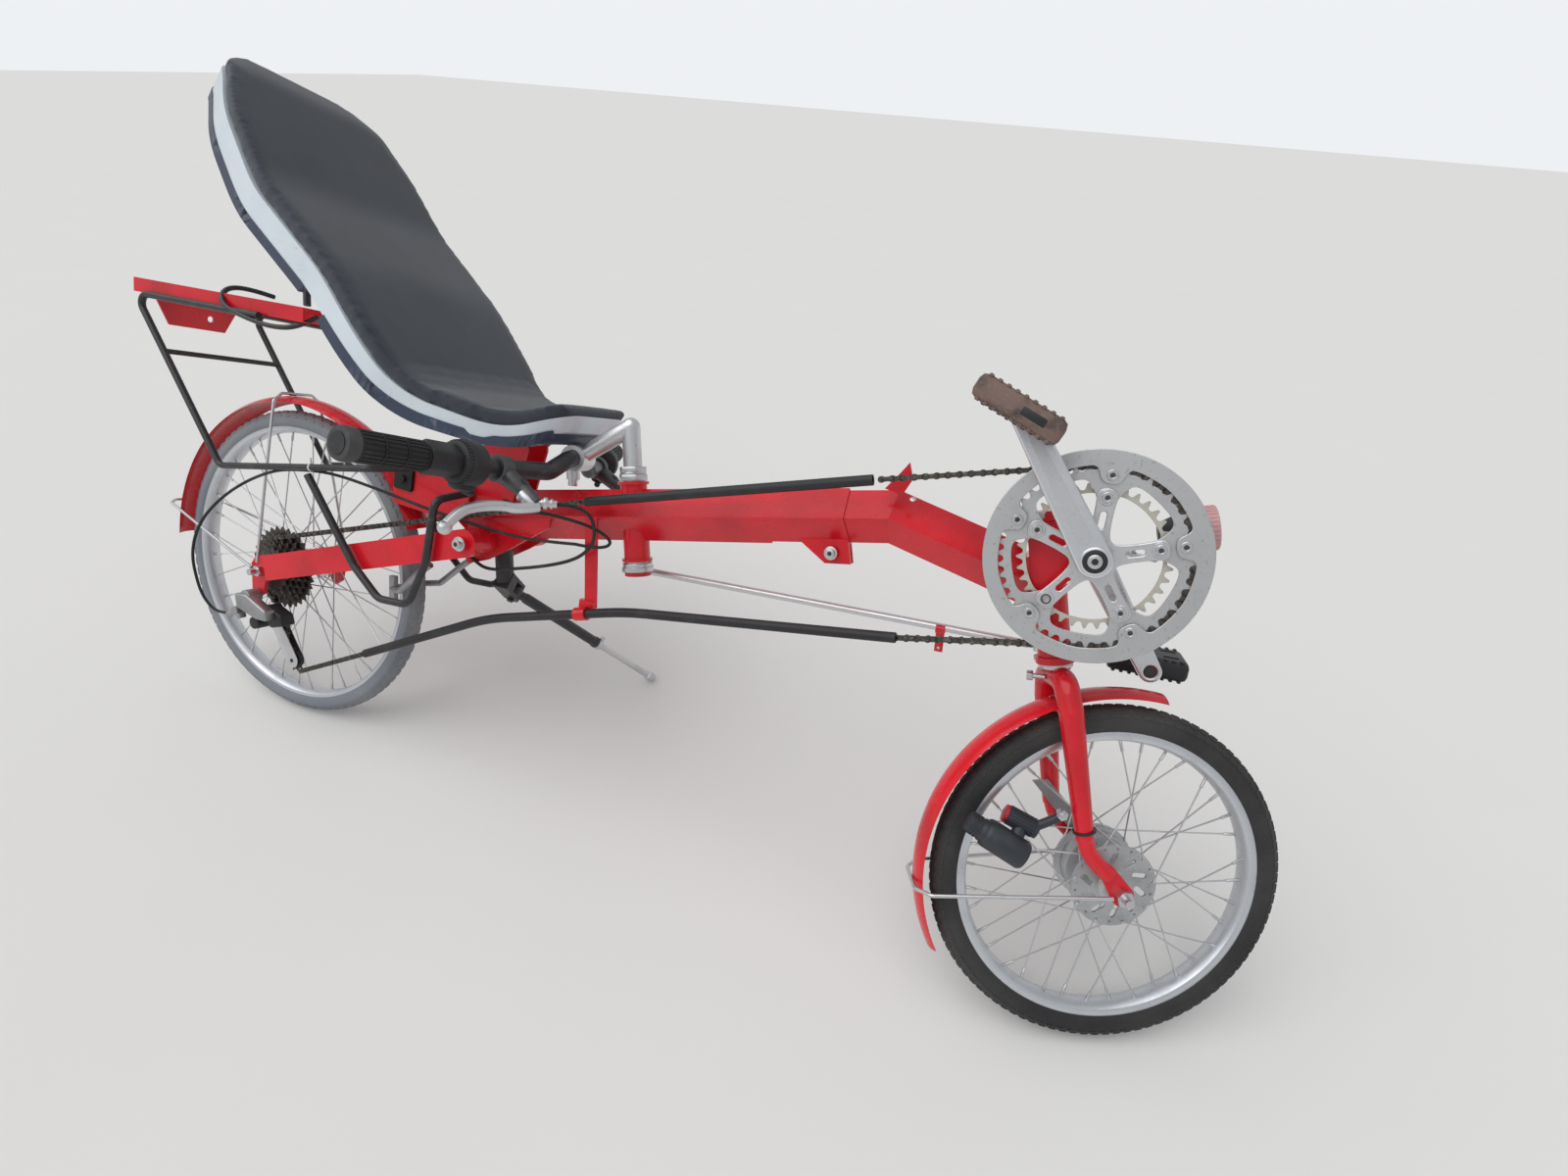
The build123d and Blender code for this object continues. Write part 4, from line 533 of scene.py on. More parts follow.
def rod(start, end, radius, sides=20, end_radius=None, bevel=0.0):
    """Rod between two points, round or with a few sides, its end edges bevelled if asked."""
    start, end = Vector(start), Vector(end)
    run = end - start
    bpy.ops.mesh.primitive_cone_add(
        vertices=sides, radius1=radius, radius2=radius if end_radius is None else end_radius,
        depth=run.length, location=(start + end) / 2, rotation=run.to_track_quat("Z", "Y").to_euler())
    piece = bpy.context.object
    bpy.ops.object.transform_apply(location=True, rotation=True, scale=True)
    if bevel:
        rounded(piece, bevel)
    return piece


def hexagon(start, end, radius, bevel=0.6):
    """Bolt head or nut with broken corners."""
    return rod(start, end, radius, sides=6, bevel=bevel)


def linked(name, data):
    """New object in the scene round some data."""
    piece = bpy.data.objects.new(name, data)
    bpy.context.scene.collection.objects.link(piece)
    return piece


def as_mesh(piece):
    """A curve object turned into a mesh."""
    alone(piece)
    bpy.ops.object.convert(target="MESH")
    return bpy.context.object


def draw(spline, points):
    """Give a new spline its points."""
    spline.points.add(len(points) - 1)
    for point, place in zip(spline.points, points):
        point.co = (*place, 1)


def run_curve(name, points, bends):
    """Smooth open curve that starts and ends at the first and last of its points."""
    curve = bpy.data.curves.new(name, "CURVE")
    curve.dimensions = "3D"
    curve.use_fill_caps = True
    spline = curve.splines.new("NURBS")
    draw(spline, points)
    spline.order_u = min(CURVE_ORDER, len(points))
    spline.use_endpoint_u = True
    spline.resolution_u = bends
    return curve


def bent_rod(points, radius, bends=8):
    """Round bar along a smooth curve, as a mesh."""
    curve = run_curve("run", points, bends)
    curve.bevel_depth = radius
    curve.bevel_resolution = 3
    return as_mesh(linked("run", curve))


# Radius of a profile's corner on the axis, where a corner at 0 would be spun onto itself
AXIS = 0.01


def spun(profile, steps=48):
    """Body of revolution: a closed profile of (radius, height) corners spun round the z axis."""
    bpy.ops.mesh.primitive_plane_add(size=1)
    piece = bpy.context.object
    mesh = bmesh.new()
    corners = [mesh.verts.new((radius, 0, height)) for radius, height in profile]
    for first, second in zip(corners, corners[1:] + corners[:1]):
        mesh.edges.new((first, second))
    mesh.to_mesh(piece.data)
    mesh.free()
    alone(piece)
    bpy.ops.object.mode_set(mode="EDIT")
    bpy.ops.mesh.select_all(action="SELECT")
    bpy.ops.mesh.spin(steps=steps, angle=2 * pi, center=(0, 0, 0), axis=(0, 0, 1))
    bpy.ops.mesh.select_all(action="SELECT")
    bpy.ops.mesh.remove_doubles(threshold=1e-4)
    bpy.ops.mesh.normals_make_consistent(inside=False)
    bpy.ops.object.mode_set(mode="OBJECT")
    return piece


def share_of(value, low, high):
    """0 below low, 1 above high and straight between."""
    return min(max((value - low) / (high - low), 0), 1)


def facing(start, end):
    """Frame at start whose z runs to end and whose x leans upward."""
    up = Vector((0, 0, 1))
    run = (Vector(end) - Vector(start)).normalized()
    top = (up - run * run.dot(up)).normalized()
    return Matrix.Translation(Vector(start)) @ Matrix((top, run.cross(top), run)).transposed().to_4x4()


def block(size, place=(0, 0, 0), bevel=0.0):
    """Box of a size with its middle at a place, its edges rounded if asked."""
    bpy.ops.mesh.primitive_cube_add(size=1)
    piece = bpy.context.object
    piece.scale = size
    bpy.ops.object.transform_apply(location=False, rotation=False, scale=True)
    if bevel:
        rounded(piece, bevel)
    return moved(piece, Matrix.Translation(Vector(place)))


def welded(piece, gap):
    """Join the corners of a mesh that lie within a gap."""
    alone(piece)
    bpy.ops.object.mode_set(mode="EDIT")
    bpy.ops.mesh.select_all(action="SELECT")
    bpy.ops.mesh.remove_doubles(threshold=gap)
    bpy.ops.object.mode_set(mode="OBJECT")


def ball(place, radius):
    bpy.ops.mesh.primitive_uv_sphere_add(segments=24, ring_count=14, radius=radius, location=place)
    return bpy.context.object


def moved(piece, matrix):
    """A piece with a move taken up into its mesh."""
    piece.data.transform(matrix)
    return piece


def rightward(x, y, z):
    """Move that stands a piece's z toward the rider's right at a place."""
    return Matrix.Translation((x, y, z)) @ Matrix.Rotation(radians(90), 4, "X")


def flat_plate(y, thick, outer, holes=(), bevel=0.4):
    """Plate in the bicycle's own plane from splines of (x, z) points, given as (smooth, points)."""
    curve = bpy.data.curves.new("plate", "CURVE")
    curve.dimensions = "2D"
    curve.fill_mode = "BOTH"
    curve.extrude = thick / 2 - bevel
    curve.bevel_depth = bevel
    curve.bevel_resolution = 2
    curve.offset = -bevel
    curve.resolution_u = 4
    for smooth, points in (outer, *holes):
        spline = curve.splines.new("NURBS" if smooth else "POLY")
        draw(spline, [(x, z, 0) for x, z in points])
        if smooth:
            spline.order_u = CURVE_ORDER
        spline.use_cyclic_u = True
    return moved(as_mesh(linked("plate", curve)), rightward(0, y, 0))


# Steps round one half circle of a flat outline
ROUND_END = 8


def around(centre, radius, angle):
    """Point at a radius and an angle in degrees from a centre."""
    return (centre[0] + radius * cos(radians(angle)), centre[1] + radius * sin(radians(angle)))


def circle(centre, radius, count=32):
    """Round outline for a flat plate."""
    return False, [around(centre, radius, step * 360 / count) for step in range(count)]


def repeated(centre, angles, corners):
    """Smooth closed line that repeats a few corners, each a radius and an angle, at several angles."""
    return True, [around(centre, radius, angle + offset) for angle in angles for radius, offset in corners]


def slot_line(centre, angle, length, width):
    """Round-ended slot that lies along a spoke of an angle."""
    line = []
    for end, first in ((1, -90), (-1, 90)):
        middle = around(centre, end * (length - width) / 2, angle)
        for step in range(ROUND_END + 1):
            line.append(around(middle, width / 2, angle + first + 180 * step / ROUND_END))
    return False, line


def teeth_line(centre, teeth, root, crown):
    """Toothed outline whose valleys lie at whole tooth angles from straight ahead."""
    step = 360 / teeth
    corners = ((-0.20, root + 0.8), (0, root), (0.20, root + 0.8), (0.42, crown), (0.58, crown))
    return False, [around(centre, radius, (tooth + share) * step) for tooth in range(teeth)
                   for share, radius in corners]


def hull_line(first, first_radius, second, second_radius):
    """Outline of a tapered arm: two round ends joined by their tangents."""
    run = atan2(second[1] - first[1], second[0] - first[0])
    gap = hypot(second[0] - first[0], second[1] - first[1])
    lean = pi / 2 + (second_radius - first_radius) / gap
    steps = 16
    points = []
    for centre, radius, start, sweep in ((first, first_radius, run + lean, 2 * pi - 2 * lean),
                                         (second, second_radius, run - lean, 2 * lean)):
        for step in range(steps + 1):
            angle = start + sweep * step / steps
            points.append((centre[0] + radius * cos(angle), centre[1] + radius * sin(angle)))
    return False, points


def farthest(node, start):
    """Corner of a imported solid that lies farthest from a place."""
    corners = [vertex.co for vertex in frame["nodes"][node].data.vertices]
    return max(corners, key=lambda corner: (corner - start).length)


# Outer straight of the bar on the left side, and the foot and direction of each steering axis
BAR_RUN = ((478, 150, 526), (424, 342, 540))
BAR_FOOT, BAR_UP = Vector((607, 0, 487.7)), Vector((-0.2300, 0, 0.9732))
FORK_FOOT, FORK_UP = Vector((1274.2, 0, 198.3)), Vector((-0.3338, 0, 0.9426))


def along_bar(side, distance):
    """Point of the bar's outer straight at a distance from the bicycle's middle."""
    (x0, y0, z0), (x1, y1, z1) = BAR_RUN
    share = (distance - y0) / (y1 - y0)
    return Vector((x0 + (x1 - x0) * share, side * distance, z0 + (z1 - z0) * share))


class RECUMBENT_OT_cad_finishes(bpy.types.Operator):
    """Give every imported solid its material"""

    bl_idname = "recumbent.cad_finishes"
    bl_label = "Finish the solids"

    def execute(self, context):
        make_finishes(context.scene.bicycle_finishes)
        for finish, nodes in NODE_FINISHES.items():
            for node in nodes.split():
                solid = frame["nodes"][node]
                if not solid.material_slots:
                    solid.data.materials.append(finishes[finish])
                solid.material_slots[0].material = finishes[finish]
        return {"FINISHED"}


class RECUMBENT_OT_seat_pad(bpy.types.Operator):
    """Swell the foam pad of the seat and mark its cut edge"""

    bl_idname = "recumbent.seat_pad"
    bl_label = "Foam pad"

    pressure = 4.0
    frames = 12
    # How far a normal leans across the pad where its cut edge begins and is full
    edge_lean = (0.45, 0.70)

    def execute(self, context):
        sizes = context.scene.bicycle_sizes
        solid = frame["nodes"]["seat_pad"]
        pad = linked("seat_foam_pad", solid.data.copy())
        welded(pad, 1e-5)
        modified(pad, "REMESH", mode="VOXEL", voxel_size=sizes.pad_voxel)
        start = [vertex.co.copy() for vertex in pad.data.vertices]
        normals = [vertex.normal.copy() for vertex in pad.data.vertices]
        self.swell(context, pad, start, sizes.pad_swell)
        modified(pad, "SMOOTH", factor=0.5, iterations=4)
        self.mark_edge(pad, normals)
        modified(pad, "SUBSURF", levels=1, render_levels=1)
        kept(pad, "seat_foam_pad", "frame", "foam", sharp=radians(60))
        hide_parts("seat_pad")
        return {"FINISHED"}

    def swell(self, context, pad, start, cap):
        """Blow the pad up as cloth and take half of each point's rise, up to a cap."""
        modifier = pad.modifiers.new("swell", "CLOTH")
        modifier.settings.use_pressure = True
        modifier.settings.uniform_pressure_force = self.pressure
        modifier.settings.effector_weights.gravity = 0
        modifier.settings.quality = 4
        for count in range(self.frames):
            context.scene.frame_set(count + 1)
        swollen = pad.evaluated_get(context.evaluated_depsgraph_get()).to_mesh()
        places = [vertex.co.copy() for vertex in swollen.vertices]
        pad.modifiers.remove(modifier)
        context.scene.frame_set(1)
        for vertex, first, place in zip(pad.data.vertices, start, places):
            step = place - first
            vertex.co = first + step * min(0.5, cap / max(step.length, 1e-9))

    def mark_edge(self, pad, normals):
        """Mark the points of the pad's cut edge, whose normals lie across its thickness."""
        across = BIKE.to_3x3().normalized() @ Vector((0, 1, 0))
        marks = pad.data.attributes.new("cut_edge", "FLOAT", "POINT")
        for mark, normal in zip(marks.data, normals):
            mark.value = share_of(abs(normal.dot(across)), *self.edge_lean)


class RECUMBENT_OT_seat_edge(bpy.types.Operator):
    """Thicken the seat's edging strip toward its front, where it laps up over the shell"""

    bl_idname = "recumbent.seat_edge"
    bl_label = "Seat edging"

    # How far the strip laps up, and the places along the bicycle where the lap begins and is full
    lap = 6.0
    lap_run = (140.0, 330.0)

    def execute(self, context):
        solid = frame["nodes"]["seat_edging"]
        strip = moved(linked("seat_edge_strip", solid.data.copy()), BIKE.inverted())
        welded(strip, 0.01)
        places = [vertex.co.copy() for vertex in strip.data.vertices]
        for vertex, place in zip(strip.data.vertices, places):
            foot = self.foot_of(place, places)
            if foot is not None:
                lap = self.lap * share_of(place.x, *self.lap_run)
                vertex.co = place + (place - foot).normalized() * lap
        kept(strip, "seat_edge_strip", "frame", "edging", BIKE, sharp=radians(30))
        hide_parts("seat_edging")
        return {"FINISHED"}

    def foot_of(self, place, places):
        """The point straight under a place at the strip's lower edge, if the place is on its upper edge."""
        thinnest, widest, drop, aside = 6, 17, 3, 1.2
        near = [other for other in places
                if abs(other.y - place.y) < aside and thinnest < (other - place).length < widest]
        if not near:
            return None
        closest = min(near, key=lambda other: (other - place).length)
        return closest if closest.z < place.z - drop else None


class RECUMBENT_OT_rims(bpy.types.Operator):
    """Turn both rims: braking faces, a spoke bed and a well for the tyre"""

    bl_idname = "recumbent.rims"
    bl_label = "Rims"

    def execute(self, context):
        for end, lip in (("rear", 232), ("front", 181)):
            wheel, node = end + "_wheel", end + "_rim"
            piece = kept(spun(self.profile(lip), 144), node + "_turned", wheel, "rim",
                         wheel_matrix(wheel))
            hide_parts(node)
        return {"FINISHED"}

    def profile(self, lip):
        """Section of a rim whose lips have a radius, as (radius, height) corners."""
        half, well = 13.5, 11.5
        outside = [(lip, half - 0.5), (lip - 1.5, half), (lip - 9, half), (lip - 10, half - 0.8),
                   (lip - 12.5, 6.5), (lip - 13.5, 4)]
        inside = [(lip - 0.6, well), (lip - 5, well), (lip - 7, 7), (lip - 9.5, 5)]
        far_outside = [(radius, -height) for radius, height in reversed(outside)]
        far_inside = [(radius, -height) for radius, height in inside]
        return outside + far_outside + far_inside + inside[::-1]


class RECUMBENT_OT_hub(bpy.types.Operator):
    """Build the front hub: a windowed disc on the right, a drum with a wide lip on the left"""

    bl_idname = "recumbent.hub"
    bl_label = "Front hub"

    windows = 10
    window_lean = 28
    holes = 18

    def execute(self, context):
        middle = (0, 0)
        turn = 360 / self.windows
        windows = [slot_line(around(middle, 32, step * turn), step * turn + self.window_lean, 17, 6.5)
                   for step in range(self.windows)]
        holes = [circle(around(middle, 45.5, step * 360 / self.holes), 1.5, 12) for step in range(self.holes)]
        disc = flat_plate(0, 3.4, circle(middle, 50, 96), windows + holes, bevel=0.5)
        moved(disc, Matrix.Translation((0, 0, -30)) @ Matrix.Rotation(radians(-90), 4, "X"))
        boss = spun([(7, -37), (12, -37), (14, -34), (19, -32), (19, -28), (20, 4), (41, 8), (42, 10),
                     (42, 27), (48.5, 28.5), (48.5, 31.5), (30, 32), (7, 32)], 96)
        piece = kept(joined([disc, boss]), "front_hub_shell", "front_wheel", "hub",
                     wheel_matrix("front_wheel"))
        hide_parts("front_hub")
        return {"FINISHED"}


class RECUMBENT_OT_tyres(bpy.types.Operator):
    """Build both tyres with their tread blocks and bead lines"""

    bl_idname = "recumbent.tyres"
    bl_label = "Tyres"

    tread = 0.9
    road_edge = radians(68)
    # Angle round the section, depth and share of a step that a ring of blocks is turned on
    lanes = ((0, 5.0, 0), (34, 4.4, 0.5), (-34, 4.4, 0.5), (62, 3.4, 0), (-62, 3.4, 0))

    def execute(self, context):
        # wheel, solid, radii of the tyre, of its section and of its bead, rubbers, blocks in a ring
        rows = [
            ("rear_wheel", "rear_tyre", REAR_RADIUS, 17.0, 225.5, ("grey_wall", "grey_tread"), 84),
            ("front_wheel", "front_tyre", FRONT_RADIUS, 18.5, 174.5, ("tyre", "tread"), 96),
        ]
        for row in rows:
            self.tyre(*row)
        return {"FINISHED"}

    def tyre(self, wheel, node, radius, section, bead, rubbers, blocks):
        """Open casing with a ridge round each side, and its rings of tread blocks."""
        ring = radius - section
        crown = section - self.tread
        steps, sweep, ridge_step = 32, 296, 5
        profile = []
        for step in range(steps + 1):
            angle = radians(-sweep / 2 + step * sweep / steps)
            ridge = 0.5 if step in (ridge_step, steps - ridge_step) else 0.0
            out = ring + (crown + ridge) * cos(angle)
            profile.append((max(out, bead + 0.4), (crown + ridge) * sin(angle)))
        pieces = [spun(profile, 120)]
        pieces += [self.lane(ring, crown, lane, depth, offset, blocks) for lane, depth, offset in self.lanes]
        piece = kept(joined(pieces), node + "_rubber", wheel, rubbers, wheel_matrix(wheel))
        self.split_finish(piece, wheel, ring)
        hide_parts(node)

    def lane(self, ring, reach, lane, depth, offset, blocks):
        """One ring of tread blocks at an angle round the tyre's section."""
        spacing = 2 * pi * (ring + reach) / blocks
        filled, slant = 0.62, 0.6
        tile = block((2.0, spacing * filled, depth))
        if lane:
            for vertex in tile.data.vertices:
                vertex.co.y += vertex.co.z * (slant if lane > 0 else -slant)
        rounded(tile, 0.35, 1)
        seat = (Matrix.Rotation(2 * pi / blocks * offset, 4, "Z") @ Matrix.Translation((ring, 0, 0))
                @ Matrix.Rotation(-radians(lane), 4, "Y") @ Matrix.Translation((reach - 0.1, 0, 0)))
        return round_about(moved(tile, seat), blocks)

    def split_finish(self, piece, wheel, ring):
        """Give the road face of the tyre its own rubber."""
        back = wheel_matrix(wheel).inverted()
        for face in piece.data.polygons:
            place = back @ face.center
            out = hypot(place.x, place.y) - ring
            face.material_index = 1 if atan2(abs(place.z), out) < self.road_edge else 0


class RECUMBENT_OT_spokes(bpy.types.Operator):
    """Lace both wheels with round spokes and their nipples"""

    bl_idname = "recumbent.spokes"
    bl_label = "Spokes"

    # Spokes that run alike from one face of a flange
    family = 9

    def execute(self, context):
        # wheel, solid, radius of the flanges, their places along the axle, lacing angle, radius of the rim
        rows = [
            ("rear_wheel", "rear_spokes", 25.0, -25.0, 34.0, 60, 218.5),
            ("front_wheel", "front_spokes", 46.0, -30.0, 30.0, 40, 167.5),
        ]
        for row in rows:
            self.lace(*row)
        return {"FINISHED"}

    def lace(self, wheel, node, flange, right, left, lacing, rim):
        """Four families of spokes, one from each face of each flange to the rim."""
        radius = bpy.context.scene.bicycle_sizes.spoke / MM
        spacing = 360 / (2 * self.family)
        # height of the flange, side of the rim, face of the flange, angle of the first spoke
        families = [(right, -1, 1, 0), (right, -1, -1, spacing), (left, 1, 1, spacing / 2),
                    (left, 1, -1, spacing * 1.5)]
        strands = []
        for height, side, outward, first in families:
            aside = outward * (radius + 0.4)
            start = self.spot(flange + 1.5, first, height + aside)
            end = self.spot(rim - 1, first + lacing * outward, side * 2.5 + aside)
            strand = rod(start, end, radius, 8)
            along = (end - start).normalized()
            nipple = rod(end - along * 12, end + along * 1.5, 1.9, 8, bevel=0.3)
            head = rod(start - along * 2 + Vector((0, 0, -aside * 0.2)), start + along * 3, 1.8, 8)
            strands.append(round_about(joined([strand, nipple, head]), self.family))
        piece = kept(joined(strands), node + "_laced", wheel, "steel", wheel_matrix(wheel))
        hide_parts(node)

    def spot(self, radius, angle, along):
        """Place in the wheel's frame, whose z runs to the rider's left."""
        return Vector((radius * cos(radians(angle)), radius * sin(radians(angle)), along))


class RECUMBENT_OT_controls(bpy.types.Operator):
    """Shape the grips, twist shifters and brake levers"""

    bl_idname = "recumbent.controls"
    bl_label = "Grips, shifters and levers"

    # Distances of the pieces from the bicycle's middle
    lever_middle = 142
    shifter_end = 176
    grip_foot = 250
    bar_end = 344

    def execute(self, context):
        for side, name in SIDES:
            self.grip(side, name, context.scene.bicycle_sizes.grip_ribs)
            self.shifter(side, name)
            self.lever(side, name)
        return {"FINISHED"}

    def grip(self, side, name, ribs):
        here = facing(along_bar(side, self.grip_foot), along_bar(side, self.bar_end))
        sleeve = spun([(11.6, 0), (15.4, 0), (15.9, 1.5), (15.9, 79), (16.6, 81), (11.6, 81)], 40)
        bands = [sleeve]
        for middle in (15, 41, 67):
            rib = block((1.6, 2.3, 23), (16.1, 0, middle), 0.5)
            bands.append(round_about(rib, ribs))
        for edge in (2, 28, 54, 79):
            bands.append(spun([(15, edge - 1), (16.9, edge - 0.8), (16.9, edge + 0.8), (15, edge + 1)], 40))
        body = kept(moved(joined(bands), here), f"grip_{name}", "handlebar", "rubber", BARRED)
        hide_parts("grips")
        cap = spun([(11.6, 80), (16.8, 80), (17.8, 82.5), (17.8, 91), (16.6, 94), (9, 95.2), (AXIS, 95.2),
                    (AXIS, 82), (11.6, 82)], 40)
        kept(moved(cap, here), f"grip_cap_{name}", "handlebar", "scuffed", BARRED)

    def shifter(self, side, name):
        here = facing(along_bar(side, self.grip_foot), along_bar(side, self.shifter_end))
        sleeve = moved(rod((0, 0, 0.5), (0, 0, 43), 20, 6, bevel=2.2), Matrix.Rotation(radians(30), 4, "Z"))
        barrel = spun([(12, 42), (21, 42), (23.5, 43), (24.5, 45), (24.5, 49), (26.5, 51), (27, 55), (27, 68),
                       (25.5, 73), (20, 75.5), (12, 76)], 48)
        teeth = round_about(block((1.4, 2.4, 5), (24.6, 0, 46.8), 0.3), 36)
        belly = block((22, 25, 27), (-21, 0, 60), 7)
        spout = rod((-30, 0, 62), (-34, 0, 76), 4.6, 20, bevel=0.6)
        piece = moved(joined([sleeve, barrel, teeth, belly, spout]), here)
        piece = kept(piece, f"shifter_{name}", "handlebar", "plastic", BARRED)
        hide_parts("shifters")

    def lever(self, side, name):
        """Clamp and body, blade, cable adjuster and pivot pin of one brake lever."""
        middle = along_bar(side, self.lever_middle)
        axis = (along_bar(side, self.shifter_end) - middle).normalized()
        nose = Vector((530, side * 146, 496))
        pivot = Vector((514, side * 142, 506))
        ring = moved(spun([(11.6, -10), (15.6, -10), (16.8, -8), (16.8, 8), (15.6, 10), (11.6, 10)], 36),
                     facing(middle, middle + axis))
        neck = rod(middle + Vector((8, 0, -6)), pivot, 12.5, 20, 10, bevel=1.5)
        beak = rod(pivot, nose + Vector((6, 0, -1)), 10, 20, 7.5, bevel=1.5)
        body = kept(joined([ring, neck, beak, ball(pivot, 10.2)]), f"lever_body_{name}", "handlebar",
                    "dark_alloy", BARRED)
        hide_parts("brake_levers")
        route = [nose + Vector((8, 0, -4)), (522, side * 164, 486), (510, side * 178, 489),
                 (494, side * 204, 486), (486, side * 226, 480), (481, side * 240, 463)]
        blade = bent_rod(route, 6.4, bends=10)
        ear = rod(nose + Vector((4, side * 2, -3)), pivot + Vector((0, side * 6, -4)), 6.5, 20, 8, bevel=1)
        kept(joined([blade, ear, ball((481, side * 241, 461), 8.0)]), f"lever_blade_{name}", "handlebar",
             "alloy", BARRED)
        way = Vector((26, side * -12, 2)).normalized()
        start = nose + way * 6
        barrel = [rod(start, start + way * 22, 4.6, 20, bevel=0.5),
                  rod(start + way * 6, start + way * 11, 7.4, 16, bevel=0.8),
                  rod(start + way * 14, start + way * 17, 6.4, 16, bevel=0.5)]
        kept(joined(barrel), f"lever_adjuster_{name}", "handlebar", "steel", BARRED)
        pin = rod(pivot + Vector((-1, 0, 9)), pivot + Vector((1, 0, 12)), 5.6, 24, bevel=0.6)
        kept(pin, f"lever_pin_{name}", "handlebar", "black", BARRED)


class RECUMBENT_OT_fittings(bpy.types.Operator):
    """Add bolts, nuts, clips and bands where the photograph shows them"""

    bl_idname = "recumbent.fittings"
    bl_label = "Bolts and clips"

    clip_share = 0.766

    def execute(self, context):
        self.headset_nuts()
        self.bolts()
        self.rod_tab()
        self.bands()
        return {"FINISHED"}

    def headset_nuts(self):
        """Stacked rings and nuts above and below the two head tubes."""
        # name, heights of both faces along the steering axis, radius, sides
        rings = [
            ("bar_locknut", 47.0, 55.5, 20.5, 6, "steel"),
            ("bar_washer", 56.0, 58.0, 18.6, 32, "steel"),
            ("bar_top_nut", 58.5, 66.0, 19.4, 6, "steel"),
            ("bar_low_ring", -73.0, -66.0, 20.6, 24, "steel"),
            ("bar_low_cap", -84.5, -75.0, 18.4, 32, "red"),
        ]
        for name, low, high, radius, sides, finish in rings:
            ring = rod(BAR_FOOT + BAR_UP * low, BAR_FOOT + BAR_UP * high, radius, sides, bevel=0.9)
            kept(ring, name, "handlebar", finish, BARRED)
        rings = [("fork_top_nut", 438, 446, 18.6, 6), ("fork_low_ring", 263, 268.4, 19.5, 32)]
        for name, low, high, radius, sides in rings:
            ring = rod(FORK_FOOT + FORK_UP * low, FORK_FOOT + FORK_UP * high, radius, sides, bevel=0.7)
            kept(ring, name, "fork", "steel", FORKED)

    def bolts(self):
        """Cap bolts with washers, a rivet and the clamp bolt of the front head tube."""
        self.pair("arm_bolt", "frame", 395, 401, 90.6, 97.5, 6.8, 10.2)
        self.pair("pinch_bolt", "frame", 894.5, 509.5, 14.1, 20, 6.0, 8.6)
        self.pair("seat_bolt", "frame", 428, 550, 30.1, 32, 5.0, 0)
        self.bolt("stem_bolt", "handlebar", BARRED, (509.4, 0, 517), (510.4, 0, 507), 6.4, 8.4)
        self.bolt("lamp_bolt", "frame", BIKE, (1226, 0, 596.2), (1226, 0, 600), 4.5, 6.5)
        self.pair("crank_bolt", "crankset", BRACKET.x, BRACKET.z, 82.2, 84.5, 7.6, 0)
        rivet = rod((980, -23.4, 598.2), (980, -24.6, 599.4), 3.6, 20, bevel=0.3)
        kept(rivet, "boom_rivet", "frame", "steel", BIKE)
        clamp = hexagon((1158, -7, 428), (1165, -7, 429.5), 6.2)
        shank = rod((1163, -7, 429), (1178, -7, 432), 3.2, 16)
        kept(joined([clamp, shank]), "head_clamp_bolt", "frame", "steel", BIKE)

    def pair(self, name, body, x, z, foot, tip, radius, washer):
        """The same bolt on both sides, its foot and tip at distances from the bicycle's middle."""
        for side, word in SIDES:
            ends = (x, side * foot, z), (x, side * tip, z)
            self.bolt(f"{name}_{word}", body, BIKE, *ends, radius, washer)

    def bolt(self, name, body, move, foot, tip, radius, washer):
        """Cap head, on a washer if that has a radius, and a black hexagon on it that is painted shade for its
        socket.
        """
        foot, tip = Vector(foot), Vector(tip)
        out = (tip - foot).normalized()
        pieces = [rod(foot, tip, radius, 24, bevel=radius * 0.12)]
        if washer:
            pieces.append(rod(foot - out * 0.2, foot + out * 1.2, washer, 28, bevel=0.2))
        kept(joined(pieces), name, body, "steel", move)
        # Black hexagon on the head, painted shade for the socket
        socket = rod(tip - out * 0.4, tip + out * 0.12, radius * 0.5, 6)
        kept(socket, name + "_socket", body, "plastic", move)

    def rod_tab(self):
        """Red clip that hangs on the steering rod."""
        start, _ = joint_place("steering_rod")
        end = farthest("steering_rod", start)
        here = facing(start.lerp(end, self.clip_share), end) @ Matrix.Scale(MM, 4)
        grip = spun([(5.1, -6), (6.6, -6), (6.6, 6), (5.1, 6)], 32)
        tab = block((34, 2.6, 11), (-20, 0, 0), 0.5)
        piece = joined([grip, tab])
        kept(moved(piece, here), "rod_clip", "steering_rod", "red")
        rivet = moved(rod((-30, -2, 0), (-30, 2, 0), 2.2, 16, bevel=0.2), here)
        kept(rivet, "rod_clip_rivet", "steering_rod", "steel")

    def bands(self):
        """Black tie round the fork, a pale one on the carrier and the carrier's spring clip."""
        leg = Vector((1247, -52, 277))
        down = Vector((1275, -55, 232)) - Vector((1228, -50, 338))
        tie = spun([(11.5, -1.6), (13.0, -1.4), (13.0, 1.4), (11.5, 1.6)], 32)
        kept(moved(tie, facing(leg, leg + down)), "fork_tie", "fork", "plastic", FORKED)
        tie = spun([(5.0, -1.3), (6.4, -1.1), (6.4, 1.1), (5.0, 1.3)], 24)
        tail = block((9, 2.4, 1.0), (9.5, 0, 0), 0.2)
        spot = Vector((118, -92, 446.6))
        kept(moved(joined([tie, tail]), facing(spot, spot + Vector((294, 0, 60)))), "carrier_tie", "frame",
             "pale", BIKE)
        clip = bent_rod([(-72, -16, 674), (-78, -44, 678), (-88, -72, 676), (-86, -88, 662), (-68, -94, 646),
                         (-20, -96, 637), (30, -94, 632), (72, -86, 640), (84, -66, 660)], 3.6, bends=10)
        kept(clip, "carrier_clip", "frame", "black", BIKE)


